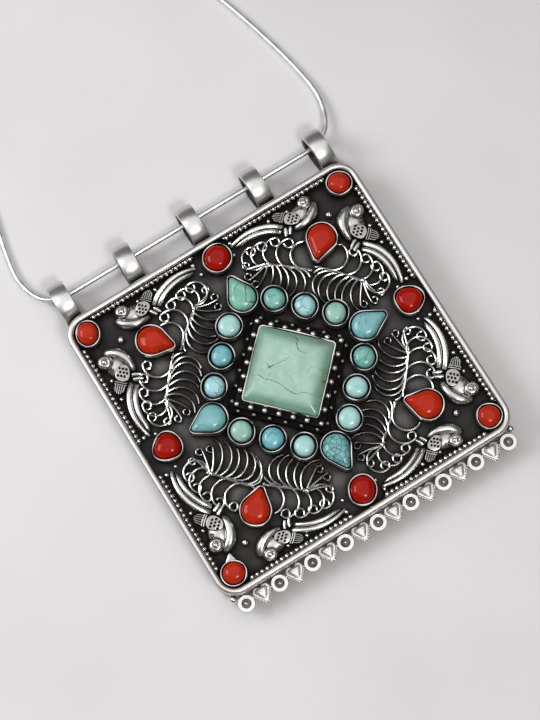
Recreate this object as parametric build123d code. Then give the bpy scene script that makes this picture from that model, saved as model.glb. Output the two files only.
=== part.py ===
from build123d import *
import math
import os

# Square silver amulet-box pendant, lying on its back.
# X runs to the right, Y towards the bails, Z out of the front.
# All sizes in millimetres. The layout grows from the centre stone outwards to the case wall.

# Centre stone on its stepped base
centre_stone_side = 17.6
centre_stone_bevel = 2.4
centre_bevel_drop = 0.9
centre_bezel_wall = 0.45
centre_granule_dia = 1.05
centre_granule_count = 6
centre_step_margin = 0.1
step_corner_radius = 1.0
lower_step_height = 1.6
upper_step_height = 3.2
centre_bezel_height = 5.4
centre_crown = 1.2

# The stones were set by hand, a little off the middle of the case
stones_right = 0.55
stones_up = 0.15

# Round turquoises, in lines along the four sides of the centre
round_stone_dia = 5.1
round_bezel_height = 4.6
round_dome = 1.0
rounds_per_line = 3
round_spacing_gap = 1.15
centre_to_round_gap = 1.0

# Drop-shaped turquoises on the four axes, points outwards
turq_drop_width = 6.5
turq_drop_length = 8.9
turq_drop_height = 4.6
turq_drop_dome = 1.2
drop_to_round_gap = 0.45
drop_to_step_gap = 0.2

# Corals: drops on the diagonals, rounds in the corners and at the middle of each side
coral_drop_width = 6.7
coral_drop_length = 8.7
coral_drop_height = 4.0
coral_drop_dome = 1.3
round_to_coral_gap = 8.3
side_coral_dia = 6.4
side_coral_height = 3.6
side_coral_dome = 1.2
drop_to_side_coral_x = 2.2
drop_to_side_coral_y = 1.45
corner_coral_dia = 5.4
corner_coral_height = 3.3
corner_coral_dome = 1.0
corner_coral_inset = 3.85

# Stone settings
bezel_wall = 0.5
drop_tip_radius = 0.6
seat_depth = 1.6
stone_fit = 0.04

# Case
wall_thick = 1.0
corner_radius = 5.0
side_coral_margin_x = 1.7
side_coral_margin_y = 0.75
frame_thick = 0.5
panel_thick = 0.6
cavity_height = 4.75
plate_thick = 0.5
wall_over_plate = 2.6
rim_width = 1.5
rim_height = 0.9
rim_round = 0.65

# Sliding back panel and its track
slide_clear = 0.05
panel_end_clear = 0.2
panel_side_clear = 0.15
guide_thick = 0.6
guide_overlap = 2.0
stop_width = 2.0
window_lap = 3.0
slot_corner_clear = 0.6

# Border wire inside the rim
border_dia = 1.3
border_stone_gap = 0.5

# Filigree plumes, two on each side, placed from the side wall and from the middle of the side
strip_wide = 0.55
strip_tall = 1.5
plume_hub_out = 11.6
plume_hub_along = 10.3
plume_hub_dia = 1.6
rib_length = 7.2
rib_angle = 139.0
inner_strand_count = 6
inner_strand_start = 176.0
inner_strand_step = 19.0
inner_strand_shortest = 4.5
inner_strand_lengthen = 0.6
inner_strand_middle = 3
outer_strand_count = 5
outer_strand_angle = 20.0
outer_strand_turn = -7.0
outer_strand_length = 6.6
outer_strand_shorten = 0.5
strand_bow = 1.3

# Birds in facing pairs at the corners
bird_tall = 2.2
bird_out = 4.3
bird_along = 0.7
breast_radius = 3.6
breast_start = 110.0
breast_sweep = 130.0
breast_wide = 1.8
head_dia = 3.0
head_out = 1.8
head_back = 1.1
wing_long = 4.6
wing_wide = 2.8
wing_angle = 65.0
wing_out = 1.7
wing_up = 1.3
collar_in = 0.6
collar_out = 1.6
collar_up = 0.5
collar_rise = 0.4
tail_bar_count = 2
tail_bar_wide = 1.0
tail_bar_gap = 0.7
tail_out = 0.2
tail_back = 1.1
tail_root_step = 1.35
tail_lean = 0.9
tail_length = 13.2
tail_bow = 1.6
pair_granule_dia = 1.3
pair_granule_in_x = 9.6
pair_granule_in_y = 8.6

# Bails on the top side
bail_count = 5
bail_end_inset = 3.95
bail_width = 4.3
bail_thick = 1.0
bail_reach = 10.4
bail_tall = 9.4
bail_centre_z = 5.2
solder_gap = 0.03

# Fringe along the bottom side
fringe_end_inset = 3.7
fringe_gap = 0.27
fringe_ring_dia = 4.1
fringe_ring_hole = 2.2
fringe_thick = 0.9
fringe_back = 0.4
fringe_z = 4.4
fringe_dome_dia = 1.3
heart_width = 4.1
heart_length = 4.5
heart_lobe_dia = 2.2
heart_peak = 0.5
heart_peak_inset = 0.75
heart_peak_slope = 35.0
heart_granule_dia = 0.9
heart_granule_shares = (0.42, 0.76)
end_bead_dia = 1.5
end_bead_angle = 55.0

# Snake chain
chain_dia = 1.3
chain_bail_offset = 1.9
chain_rest_clear = 0.3
chain_lead = 1.15
coil_pitch = 1.78
coil_outer_radius = 9.4
coil_half_turns = 5
coil_end_radius = 2.7
cap_dia = 1.9
cap_length = 2.2
hook_wire = 0.8
hook_radius = 1.2
hook_opening = 75.0
gap_step = 0.4

# Heights
z_panel = frame_thick + slide_clear
z_panel_top = z_panel + panel_thick
z_guide = z_panel_top + slide_clear
z_plate = z_panel_top + cavity_height
z_ground = z_plate + plate_thick
z_wall = z_ground + wall_over_plate

nodes = {}


def put(name, *solids):
    nodes.setdefault(name, []).extend(solids)


def prism(face, z0, z1):
    return Pos(0, 0, z0) * extrude(face, z1 - z0)


def drop_face(width, length, grow):
    """Drop outline, round end at the origin and point along +Y, grown by a wall."""
    big = width / 2
    reach = length - big - drop_tip_radius
    lean = math.degrees(math.asin((big - drop_tip_radius) / reach))
    a = math.radians(lean)
    r0 = big + grow
    r1 = drop_tip_radius + grow
    right0 = (r0 * math.cos(a), r0 * math.sin(a))
    right1 = (r1 * math.cos(a), reach + r1 * math.sin(a))
    left0 = (-right0[0], right0[1])
    left1 = (-right1[0], right1[1])
    outline = [
        ThreePointArc(left0, (0, -r0), right0),
        Line(right0, right1),
        ThreePointArc(right1, (0, reach + r1), left1),
        Line(left1, left0),
    ]
    return make_face(outline)


def setting(outline, height, dome, half_extent, axis_shift):
    """Bezel cup and domed stone standing on the ground plate, from one outline function."""
    top = z_ground + height
    floor = top - seat_depth
    cup = prism(outline(bezel_wall), z_ground, top) - prism(outline(0), floor, top)
    ball = (half_extent**2 + dome**2) / (2 * dome)
    body = prism(outline(-stone_fit), floor, top + dome)
    stone = body & (Pos(0, axis_shift, top + dome - ball) * Sphere(ball))
    return cup, stone


def drop_setting(width, length, height, dome):
    half = length / 2
    return setting(lambda g: drop_face(width, length, g), height, dome, half + dome / 2, half - width / 2)


def round_setting(dia, height, dome):
    return setting(lambda g: Circle(dia / 2 + g), height, dome, dia / 2 + dome / 3, 0)


# Layout from the centre outwards
round_bezel = round_stone_dia / 2 + bezel_wall
bezel_half = centre_stone_side / 2 + centre_bezel_wall
upper_half = bezel_half + centre_granule_dia + 2 * centre_step_margin
lower_half = upper_half + centre_granule_dia + 2 * centre_step_margin
round_line = lower_half + centre_to_round_gap + round_bezel
round_pitch = 2 * round_bezel + round_spacing_gap
line_reach = round_pitch * (rounds_per_line - 1) / 2
end_near = (round_line - line_reach) / math.sqrt(2)
end_far = (round_line + line_reach) / math.sqrt(2)
drop_bezel = turq_drop_width / 2 + bezel_wall
drop_clear = drop_bezel + round_bezel + drop_to_round_gap
beside_round = end_far + math.sqrt(max(drop_clear**2 - end_near**2, 0))
step_point = lower_half * math.sqrt(2) - step_corner_radius * (math.sqrt(2) - 1)
turq_drop_at = max(beside_round, step_point + drop_bezel + drop_to_step_gap)
drop_point = turq_drop_at + turq_drop_length - turq_drop_width / 2 + bezel_wall
side_bezel = side_coral_dia / 2 + bezel_wall
side_x = drop_point + drop_to_side_coral_x + side_bezel
side_y = drop_point + drop_to_side_coral_y + side_bezel
inner_x = side_x + side_bezel + side_coral_margin_x
inner_y = side_y + side_bezel + side_coral_margin_y
half_x = inner_x + wall_thick
half_y = inner_y + wall_thick
coral_point = round_line + round_bezel + round_to_coral_gap
coral_at = coral_point + coral_drop_length - coral_drop_width / 2
corner_bezel = corner_coral_dia / 2 + bezel_wall
corner_x = inner_x - corner_coral_inset
corner_y = inner_y - corner_coral_inset

# Case wall, with the slot for the panel in its right side
outer = RectangleRounded(2 * half_x, 2 * half_y, corner_radius)
inner = RectangleRounded(2 * inner_x, 2 * inner_y, corner_radius - wall_thick)
panel_high = 2 * (half_y - corner_radius - slot_corner_clear)
slot_high = panel_high + 2 * panel_side_clear
slot = prism(Pos(half_x, 0) * Rectangle(4 * wall_thick, slot_high), frame_thick, z_guide)
put("case_wall", prism(outer - inner, 0, z_wall) - slot)

# Back frame with its window, panel guides and the panel itself
panel_left = -inner_x + stop_width + panel_end_clear
window_x0 = panel_left + window_lap
window_x1 = inner_x - window_lap
window_high = panel_high - 2 * window_lap
window = Pos((window_x0 + window_x1) / 2, 0) * Rectangle(window_x1 - window_x0, window_high)
put("back_frame", prism(inner - window, 0, frame_thick))
track_edge = slot_high / 2
for name, sign in (("panel_guide_top", 1), ("panel_guide_bottom", -1)):
    outside = Pos(0, sign * (track_edge + inner_y)) * Rectangle(4 * inner_x, 2 * inner_y)
    inside = Pos(0, sign * (track_edge - guide_overlap + inner_y)) * Rectangle(4 * inner_x, 2 * inner_y)
    foot = prism(inner & outside, frame_thick, z_guide)
    shelf = prism(inner & inside, z_guide, z_guide + guide_thick)
    put(name, foot + shelf)
stop_x = -inner_x + stop_width / 2
put("panel_stop", prism(Pos(stop_x, 0) * Rectangle(stop_width, 2 * track_edge), frame_thick, z_guide))
panel_long = half_x - panel_left
panel = Pos(panel_left + panel_long / 2, 0) * Rectangle(panel_long, panel_high)
put("back_panel", prism(panel, z_panel, z_panel_top))

# Ground plate and rim wire
put("ground_plate", prism(inner, z_plate, z_ground))
rim_x = half_x - rim_width
rim_y = half_y - rim_width
rim_inner = RectangleRounded(2 * rim_x, 2 * rim_y, corner_radius - rim_width)
rim = prism(outer - rim_inner, z_wall, z_wall + rim_height)
put("rim_wire", fillet(rim.faces().sort_by(Axis.Z)[-1].edges(), rim_round))

# Centre: stepped base, square bezel, granules and stone, all turned to stand on a corner
stones = Pos(stones_right, stones_up, 0)
turn = stones * Rot(0, 0, 45)
z_lower = z_ground + lower_step_height
z_upper = z_ground + upper_step_height
z_bezel = z_ground + centre_bezel_height
lower_face = RectangleRounded(2 * lower_half, 2 * lower_half, step_corner_radius)
upper_face = Rectangle(2 * upper_half, 2 * upper_half)
put("centre_base", turn * (prism(lower_face, z_ground, z_lower) + prism(upper_face, z_lower, z_upper)))
square = Rectangle(centre_stone_side, centre_stone_side)
bezel_face = Rectangle(2 * bezel_half, 2 * bezel_half) - square
put("centre_bezel", turn * prism(bezel_face, z_upper, z_bezel))
stone_side = centre_stone_side - 2 * stone_fit
stone = prism(Rectangle(stone_side, stone_side), z_upper, z_bezel + centre_crown)
stone = chamfer(stone.faces().sort_by(Axis.Z)[-1].edges(), centre_bevel_drop, centre_stone_bevel)
put("centre_turquoise", turn * stone)
for half, z_row, skip in ((upper_half, z_upper, 0), (lower_half, z_lower, 0.5)):
    line = half - centre_step_margin - centre_granule_dia / 2
    grain = Sphere(centre_granule_dia / 2)
    for side in range(4):
        for i in range(centre_granule_count):
            along = -line + 2 * line * (i + skip) / centre_granule_count
            spot = turn * Rot(0, 0, 90 * side) * Pos(along, line, z_row + centre_granule_dia / 2)
            put("centre_granules", spot * grain)

# Turquoise rounds and drops
cup, stone = round_setting(round_stone_dia, round_bezel_height, round_dome)
for side in range(4):
    for i in range(rounds_per_line):
        along = (i - (rounds_per_line - 1) / 2) * round_pitch
        spot = turn * Rot(0, 0, 90 * side) * Pos(along, round_line, 0)
        put("round_bezels", spot * cup)
        put("round_turquoises", spot * stone)
cup, stone = drop_setting(turq_drop_width, turq_drop_length, turq_drop_height, turq_drop_dome)
for side in range(4):
    spot = stones * Rot(0, 0, 90 * side) * Pos(0, turq_drop_at, 0)
    put("turquoise_drop_bezels", spot * cup)
    put("turquoise_drops", spot * stone)

# Corals
cup, stone = drop_setting(coral_drop_width, coral_drop_length, coral_drop_height, coral_drop_dome)
for side in range(4):
    spot = turn * Rot(0, 0, 90 * side) * Pos(0, coral_at, 0) * Rot(0, 0, 180)
    put("coral_drop_bezels", spot * cup)
    put("coral_drops", spot * stone)
cup, stone = round_setting(side_coral_dia, side_coral_height, side_coral_dome)
for x, y in ((0, side_y), (side_x, 0), (0, -side_y), (-side_x, 0)):
    put("side_coral_bezels", stones * Pos(x, y) * cup)
    put("side_corals", stones * Pos(x, y) * stone)
cup, stone = round_setting(corner_coral_dia, corner_coral_height, corner_coral_dome)
for sx in (1, -1):
    for sy in (1, -1):
        put("corner_coral_bezels", Pos(sx * corner_x, sy * corner_y) * cup)
        put("corner_corals", Pos(sx * corner_x, sy * corner_y) * stone)

# Sides of the case: along runs from the middle of a side to its corner, out towards the wall
sides = {
    "top": (Rot(0, 0, 90), inner_y, corner_x),
    "right": (Rot(0, 0, 0), inner_x, corner_y),
    "bottom": (Rot(0, 0, -90), inner_y, corner_x),
    "left": (Rot(0, 0, 180), inner_x, corner_y),
}


def along_arc(x, y, angle, length, bow):
    a = math.radians(angle)
    end = (x + length * math.cos(a), y + length * math.sin(a))
    return SagittaArc((x, y), end, bow)


# One plume, drawn for the upper half of the right side with the wall's inner face at x = 0
hub_x = -plume_hub_out
hub_y = plume_hub_along
plume = Pos(hub_x, hub_y) * Circle(plume_hub_dia / 2)
rib = math.radians(rib_angle)
rib_end = (hub_x + rib_length * math.cos(rib), hub_y + rib_length * math.sin(rib))
plume += SlotArc(Line((hub_x, hub_y), rib_end), strip_wide)
for i in range(inner_strand_count):
    reach = inner_strand_shortest + inner_strand_lengthen * abs(i - inner_strand_middle)
    angle = inner_strand_start + inner_strand_step * i
    plume += SlotArc(along_arc(hub_x, hub_y, angle, reach, -strand_bow), strip_wide)
for i in range(outer_strand_count):
    share = 1 - i / (outer_strand_count - 1)
    x = hub_x + share * rib_length * math.cos(rib)
    y = hub_y + share * rib_length * math.sin(rib)
    reach = outer_strand_length - outer_strand_shorten * i
    angle = outer_strand_angle + outer_strand_turn * i
    plume += SlotArc(along_arc(x, y, angle, reach, strand_bow), strip_wide)
plume = prism(plume, z_ground, z_ground + strip_tall)

# One bird for the same half side, with the coral drop's round end at y = 0
centre_x = -bird_out
centre_y = bird_along
breast = CenterArc((centre_x, centre_y), breast_radius, breast_start, breast_sweep)
bird = SlotArc(breast, breast_wide)
neck = breast @ 0
belly = breast @ 1
bird += Pos(neck.X + head_out, neck.Y - head_back) * Circle(head_dia / 2)
wing = Rot(0, 0, wing_angle) * Ellipse(wing_long / 2, wing_wide / 2)
bird += Pos(belly.X + wing_out, belly.Y + wing_up) * wing
tail_x = belly.X + tail_out
tail_y = belly.Y - tail_back
collar_start = (tail_x - collar_in, tail_y + collar_up)
collar_end = (tail_x + collar_out, tail_y + collar_up + collar_rise)
bird += SlotArc(Line(collar_start, collar_end), tail_bar_wide)
for i in range(tail_bar_count):
    step = i * (tail_bar_wide + tail_bar_gap)
    root = (tail_x + i * tail_root_step, tail_y)
    tail_tip = (tail_x + tail_lean + step, tail_y - tail_length)
    bird += SlotArc(SagittaArc(root, tail_tip, tail_bow), tail_bar_wide)
bird = prism(bird, z_ground, z_ground + bird_tall)

border_top = z_wall
border_core = border_top - border_dia / 2
profile = Pos(0, (z_ground + border_core) / 2) * Rectangle(border_dia, border_core - z_ground)
profile += Pos(0, border_core) * Circle(border_dia / 2)
coral_round_at = coral_at / math.sqrt(2)
for side, (swing, out, corner_along) in sides.items():
    for half, sign in (("a", 1), ("b", -1)):
        own_plume = Pos(out, 0, 0) * plume
        own_bird = Pos(out, coral_round_at, 0) * bird
        start = side_bezel + border_stone_gap
        beside = math.sqrt(max(corner_bezel**2 - (corner_coral_inset - border_dia) ** 2, 0))
        stop = corner_along - beside - border_stone_gap
        bar = extrude(Plane.XZ * profile, -(stop - start))
        own_bar = Pos(out - border_dia / 2, start, 0) * bar
        if sign < 0:
            own_plume = mirror(own_plume, Plane.XZ)
            own_bird = mirror(own_bird, Plane.XZ)
            own_bar = mirror(own_bar, Plane.XZ)
        put(f"plume_{side}_{half}", swing * own_plume)
        put(f"bird_{side}_{half}", swing * own_bird)
        put(f"border_{side}", swing * own_bar)

# Granule between the two birds of each corner
for sx in (1, -1):
    for sy in (1, -1):
        x = sx * (inner_x - pair_granule_in_x)
        y = sy * (inner_y - pair_granule_in_y)
        put("corner_granules", Pos(x, y, z_ground + pair_granule_dia / 2) * Sphere(pair_granule_dia / 2))

# Bails, standing on the top side of the wall
bail_y = half_y + bail_reach / 2 + solder_gap
loop = Ellipse(bail_reach / 2, bail_tall / 2)
loop -= Ellipse(bail_reach / 2 - bail_thick, bail_tall / 2 - bail_thick)
bail = extrude(Plane.YZ * loop, bail_width / 2, both=True)
end_bail = half_x - bail_end_inset
for i in range(bail_count):
    x = end_bail * (2 * i / (bail_count - 1) - 1)
    put(f"bail_{i + 1}", Pos(x, bail_y, bail_centre_z) * bail)

# Fringe of rings and hearts on the bottom side
fringe_y = -half_y - solder_gap
ring = prism(Circle(fringe_ring_dia / 2), fringe_z, fringe_z + fringe_thick)
ring -= prism(Circle(fringe_ring_hole / 2), fringe_z + fringe_back, fringe_z + fringe_thick)
dome = Pos(0, 0, fringe_z + fringe_back + fringe_dome_dia / 2) * Sphere(fringe_dome_dia / 2)
lobe = heart_lobe_dia / 2
lobe_x = heart_width / 2 - lobe
flank = heart_length - lobe
slope = math.atan2(flank, lobe_x) - math.asin(lobe / math.hypot(flank, lobe_x))
touch = (lobe_x + lobe * math.sin(slope), -lobe - lobe * math.cos(slope))
tip = (0, -heart_length)
heart = Pos(lobe_x, -lobe) * Circle(lobe) + Pos(-lobe_x, -lobe) * Circle(lobe)
far_touch = (-touch[0], touch[1])
heart += make_face(Polyline(tip, touch, (lobe_x, -lobe), (-lobe_x, -lobe), far_touch, close=True))
heart_plate = prism(heart, fringe_z, fringe_z + fringe_thick)
peak_x = heart_width / 2 - heart_peak_inset
peak_y = -heart_peak_inset
peak_tip = (0, -heart_length + 2 * heart_peak_inset)
peak_face = make_face(Polyline((-peak_x, peak_y), (peak_x, peak_y), peak_tip, close=True))
peak = Pos(0, 0, fringe_z + fringe_thick) * extrude(peak_face, heart_peak, taper=heart_peak_slope)
grain = Sphere(heart_granule_dia / 2)
grain_z = fringe_z + fringe_thick / 2
away = heart_granule_dia / 2 + solder_gap
out_x = math.sin(slope) * away
out_y = -math.cos(slope) * away
grains = [Pos(0, -heart_length - away, grain_z) * grain]
for share in heart_granule_shares:
    x = touch[0] * (1 - share) + out_x
    y = touch[1] * (1 - share) - heart_length * share + out_y
    grains += [Pos(x, y, grain_z) * grain, Pos(-x, y, grain_z) * grain]
fringe_pitch = fringe_ring_dia + heart_width + 2 * fringe_gap
fringe_steps = int(2 * (half_x - fringe_end_inset) / fringe_pitch)
for i in range(fringe_steps + 1):
    spot = Pos((i - fringe_steps / 2) * fringe_pitch, fringe_y - fringe_ring_dia / 2)
    put("fringe_rings", spot * ring)
    put("fringe_domes", spot * dome)
for i in range(fringe_steps):
    spot = Pos((i + 0.5 - fringe_steps / 2) * fringe_pitch, fringe_y)
    put("fringe_hearts", spot * (heart_plate + peak))
    for g in grains:
        put("heart_granules", spot * g)
bead_out = corner_radius + end_bead_dia / 2 + solder_gap
bead_x = half_x - corner_radius + bead_out * math.cos(math.radians(end_bead_angle))
bead_y = -half_y + corner_radius - bead_out * math.sin(math.radians(end_bead_angle))
for sx in (1, -1):
    put("fringe_end_beads", Pos(sx * bead_x, bead_y, grain_z) * Sphere(end_bead_dia / 2))

# Snake chain: straight through the bails, then down to the surface and away to a coil at each end
room_y = bail_reach / 2 - bail_thick - chain_dia / 2 - chain_rest_clear
room_z = bail_tall / 2 - bail_thick - chain_dia / 2 - chain_rest_clear
chain_y = bail_y + chain_bail_offset
chain_z = bail_centre_z - room_z * math.sqrt(1 - (chain_bail_offset / room_y) ** 2)
rest_z = cap_dia / 2
strand_x = end_bail - bail_width / 2 - chain_lead
leave_x = end_bail + bail_width / 2 + chain_lead


def tube(path):
    solid = sweep(Plane(path @ 0, z_dir=path % 0) * Circle(chain_dia / 2), path)
    expected = path.length * math.pi * chain_dia**2 / 4
    print("tube length", round(path.length, 2), "volume ratio", round(solid.volume / expected, 5))
    return solid


def strand(points):
    pts = [Vector(*p) for p in points]
    radii = []
    for a, b, c in zip(pts, pts[1:], pts[2:]):
        half_turn = math.radians((b - a).get_angle(c - b) / 2)
        radii.append(0.45 * min((b - a).length, (c - b).length) / math.tan(half_turn))
    print("radii", [round(r, 1) for r in radii])
    return FilletPolyline(*pts, radius=radii)


def coil(start, heading, side):
    """Flat coil of half turns, each nearer to the middle, ending across it."""
    edges = [Line(start, start + heading * chain_dia)]
    for k in range(coil_half_turns):
        radius = coil_outer_radius - k * coil_pitch / 2
        edges.append(JernArc(edges[-1] @ 1, edges[-1] % 1, radius, side * 180))
    edges.append(JernArc(edges[-1] @ 1, edges[-1] % 1, coil_end_radius, side * 90))
    edges.append(Line(edges[-1] @ 1, edges[-1] @ 1 + (edges[-1] % 1) * chain_dia))
    return Wire(edges)


def self_gap(path):
    """Least gap of a winding to itself, between points at least one radius apart along it."""
    count = int(path.length / gap_step)
    pts = [path @ (i / count) for i in range(count + 1)]
    apart = int(coil_outer_radius / gap_step)
    least = min((a - b).length for i, a in enumerate(pts) for b in pts[i + apart :])
    return least - chain_dia


left_points = [
    (-strand_x, chain_y, chain_z),
    (-leave_x, chain_y, chain_z),
    (-41.8, 52.6, 1.3),
    (-40.6, 61.0, rest_z),
    (-38.4, 70.5, rest_z),
    (-36.6, 79.5, rest_z),
]
right_points = [
    (strand_x, chain_y, chain_z),
    (leave_x, chain_y, chain_z),
    (42.8, 53.4, 1.4),
    (41.7, 64.0, rest_z),
    (38.9, 76.2, rest_z),
    (35.6, 87.6, rest_z),
    (31.9, 98.2, rest_z),
]
put("chain_middle", tube(Line((-strand_x, chain_y, chain_z), (strand_x, chain_y, chain_z))))
for end, points, side in (("left", left_points, 1), ("right", right_points, -1)):
    path = strand(points)
    put(f"chain_{end}", tube(path))
    winding = coil(path @ 1, path % 1, side)
    print("coil gap", round(self_gap(winding), 3))
    put(f"chain_{end}_coil", tube(winding))
    last = Plane(winding @ 1, x_dir=winding % 1, z_dir=(0, 0, 1))
    cap = extrude(Plane.YZ * Circle(cap_dia / 2), cap_length)
    ring_at = cap_length + hook_radius
    if end == "left":
        bent = CenterArc((ring_at, 0, 0), hook_radius, 180, 360 - hook_opening)
    else:
        bent = CenterArc((ring_at, 0, 0), hook_radius, 180, 360)
    wire = sweep(Plane(bent @ 0, z_dir=bent % 0) * Circle(hook_wire / 2), bent)
    put("chain_hook" if end == "left" else "chain_eye", last * (cap + wire))

low_y = -half_y - solder_gap - heart_length - heart_granule_dia
high_y = half_y + solder_gap + bail_reach
mid_y = (low_y + high_y) / 2

os.makedirs("parts", exist_ok=True)
for name, solids in nodes.items():
    shape = Compound(children=[Pos(0, -mid_y, 0) * s for s in solids])
    export_step(shape, f"parts/{name}.step")
print("case", round(2 * half_x, 2), "x", round(2 * half_y, 2), "top", round(z_wall + rim_height, 2))
print("middle of the length", round(mid_y, 3))
print(len(nodes), "nodes")
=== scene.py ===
import math
import random

import bmesh
import bpy
from mathutils import Matrix, Vector


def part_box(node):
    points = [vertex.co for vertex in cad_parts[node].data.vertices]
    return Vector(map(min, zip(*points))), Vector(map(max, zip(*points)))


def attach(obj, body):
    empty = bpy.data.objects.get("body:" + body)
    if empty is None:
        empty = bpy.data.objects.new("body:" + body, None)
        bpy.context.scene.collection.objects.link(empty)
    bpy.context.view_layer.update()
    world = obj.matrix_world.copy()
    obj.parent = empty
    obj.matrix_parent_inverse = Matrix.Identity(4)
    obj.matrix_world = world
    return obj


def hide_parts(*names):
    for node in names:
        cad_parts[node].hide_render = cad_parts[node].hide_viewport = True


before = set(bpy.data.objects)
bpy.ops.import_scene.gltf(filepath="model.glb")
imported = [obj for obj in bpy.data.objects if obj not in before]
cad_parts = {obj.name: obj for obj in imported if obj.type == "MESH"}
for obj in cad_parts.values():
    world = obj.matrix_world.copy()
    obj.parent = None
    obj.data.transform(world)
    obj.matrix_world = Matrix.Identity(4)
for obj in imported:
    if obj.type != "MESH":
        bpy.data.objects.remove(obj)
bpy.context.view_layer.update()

# Shapes are drawn in millimetres about the middle of the case, with its back at z = 0.
MM = 0.001
wall_low, wall_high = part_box("case_wall")
case_middle = Vector(((wall_low.x + wall_high.x) / 2, (wall_low.y + wall_high.y) / 2, wall_low.z))
to_frame = Matrix.Translation(case_middle) @ Matrix.Scale(MM, 4)
from_frame = to_frame.inverted()
ORIGIN = (0, 0)
# Points nearer to each other than this, in metres, are one point: of a CAD node and of a finished piece
NODE_WELD = 1e-6
PIECE_WELD = 1e-7


def box_mm(node):
    """Lowest and highest corner of a CAD node, in millimetres about the case's middle."""
    low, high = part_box(node)
    return from_frame @ low, from_frame @ high


def top_of(node):
    return box_mm(node)[1].z


def solids_mm(node):
    """Lowest and highest corner of each separate solid of a CAD node, from left to right."""
    mesh = bmesh.new()
    mesh.from_mesh(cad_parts[node].data)
    bmesh.ops.remove_doubles(mesh, verts=mesh.verts, dist=NODE_WELD)
    left = set(mesh.verts)
    boxes = []
    while left:
        stack = [left.pop()]
        found = []
        while stack:
            vert = stack.pop()
            found.append(from_frame @ vert.co)
            for edge in vert.link_edges:
                other = edge.other_vert(vert)
                if other in left:
                    left.remove(other)
                    stack.append(other)
        boxes.append((Vector(map(min, zip(*found))), Vector(map(max, zip(*found)))))
    mesh.free()
    return sorted(boxes, key=lambda b: (round(b[0].x, 2), round(b[0].y, 2)))


def middles(node):
    return [(low + high) / 2 for low, high in solids_mm(node)]


inner_x, inner_y, ground = box_mm("ground_plate")[1]
rim_low, rim_high = box_mm("rim_wire")
half_x, half_y, rim_top = rim_high
rim_base = rim_low.z


def at(x, y, z=0.0):
    return Matrix.Translation((x, y, z))


def turned(degrees, axis="Z"):
    return Matrix.Rotation(math.radians(degrees), 4, axis)


def new_object(name, data):
    made = bpy.data.objects.new(name, data)
    bpy.context.scene.collection.objects.link(made)
    return made


def on_case(name, data, stands_for):
    """Makes a piece that rides on the case, in the place of the CAD nodes that it stands for."""
    piece = new_object(name, data)
    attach(piece, "case")
    if stands_for:
        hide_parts(*stands_for)
    return piece


class Shape:
    """Collects the faces of one piece and makes it an object."""

    def __init__(self):
        self.verts = []
        self.faces = []

    def skin(self, rings, place=Matrix.Identity(4), caps=True):
        """Joins rings of points, one after the other; a ring of one point is a pole."""
        starts = []
        for ring in rings:
            starts.append(len(self.verts))
            self.verts.extend(place @ Vector(p) for p in ring)
        for a, b, sa, sb in zip(rings, rings[1:], starts, starts[1:]):
            count = max(len(a), len(b))
            for i in range(count):
                j = (i + 1) % count
                if len(a) == 1:
                    self.faces.append((sa, sb + j, sb + i))
                elif len(b) == 1:
                    self.faces.append((sa + i, sa + j, sb))
                else:
                    self.faces.append((sa + i, sa + j, sb + j, sb + i))
        if caps:
            for ring, start in ((rings[0], starts[0]), (rings[-1], starts[-1])):
                if len(ring) > 2:
                    self.faces.append(tuple(range(start, start + len(ring))))

    def ball(self, centre, radius, flat, around, up):
        """Ball of rings from its foot up; flat is its height as a share of its width."""
        x, y, z = centre
        rings = []
        for k in range(up + 1):
            a = math.pi * (k / up - 0.5)
            ring = circle(radius * math.cos(a), around) if 0 < k < up else [ORIGIN]
            rings.append([(x + dx, y + dy, z + flat * radius * math.sin(a)) for dx, dy in ring])
        self.skin(rings)

    def make(self, name, material, stands_for=(), slot="silver", sharp=40.0):
        mesh = bpy.data.meshes.new(name)
        mesh.from_pydata([to_frame @ v for v in self.verts], [], self.faces)
        tidy = bmesh.new()
        tidy.from_mesh(mesh)
        bmesh.ops.remove_doubles(tidy, verts=tidy.verts, dist=PIECE_WELD)
        bmesh.ops.recalc_face_normals(tidy, faces=tidy.faces)
        tidy.to_mesh(mesh)
        tidy.free()
        mesh.shade_smooth()
        mesh.set_sharp_from_angle(angle=math.radians(sharp))
        mesh.materials.append(material)
        return on_case(name, mesh, stands_for)


# Flat outlines and paths


def circle(radius, count=32):
    turn = 2 * math.pi / count
    return [(radius * math.cos(i * turn), radius * math.sin(i * turn)) for i in range(count)]


def half_turn(count):
    return [math.pi * k / count for k in range(count + 1)]


def between(a, b, share):
    """Point that lies a share of the way from a to b."""
    return tuple(p + (q - p) * share for p, q in zip(a, b))


def mirrored(points):
    """The points on the other side of x = 0, from the last one to the first."""
    return [(-x, y) for x, y in reversed(points)]


def bow(middle, radius, start, sweep, count):
    """Points along an arc about a middle; start and sweep are in radians."""
    turns = [start + sweep * i / count for i in range(count + 1)]
    return [(middle[0] + radius * math.cos(t), middle[1] + radius * math.sin(t)) for t in turns]


def arc_through(a, b, c, count=24):
    """Points along the arc from a through b to c."""
    (ax, ay), (bx, by), (cx, cy) = a, b, c
    d = 2 * (ax * (by - cy) + bx * (cy - ay) + cx * (ay - by))
    aa, bb, cc = ax * ax + ay * ay, bx * bx + by * by, cx * cx + cy * cy
    ox = (aa * (by - cy) + bb * (cy - ay) + cc * (ay - by)) / d
    oy = (aa * (cx - bx) + bb * (ax - cx) + cc * (bx - ax)) / d
    start = math.atan2(ay - oy, ax - ox)
    through = (math.atan2(by - oy, bx - ox) - start) % (2 * math.pi)
    end = (math.atan2(cy - oy, cx - ox) - start) % (2 * math.pi)
    sweep = end if through < end else end - 2 * math.pi
    return bow((ox, oy), math.hypot(ax - ox, ay - oy), start, sweep, count)


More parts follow.
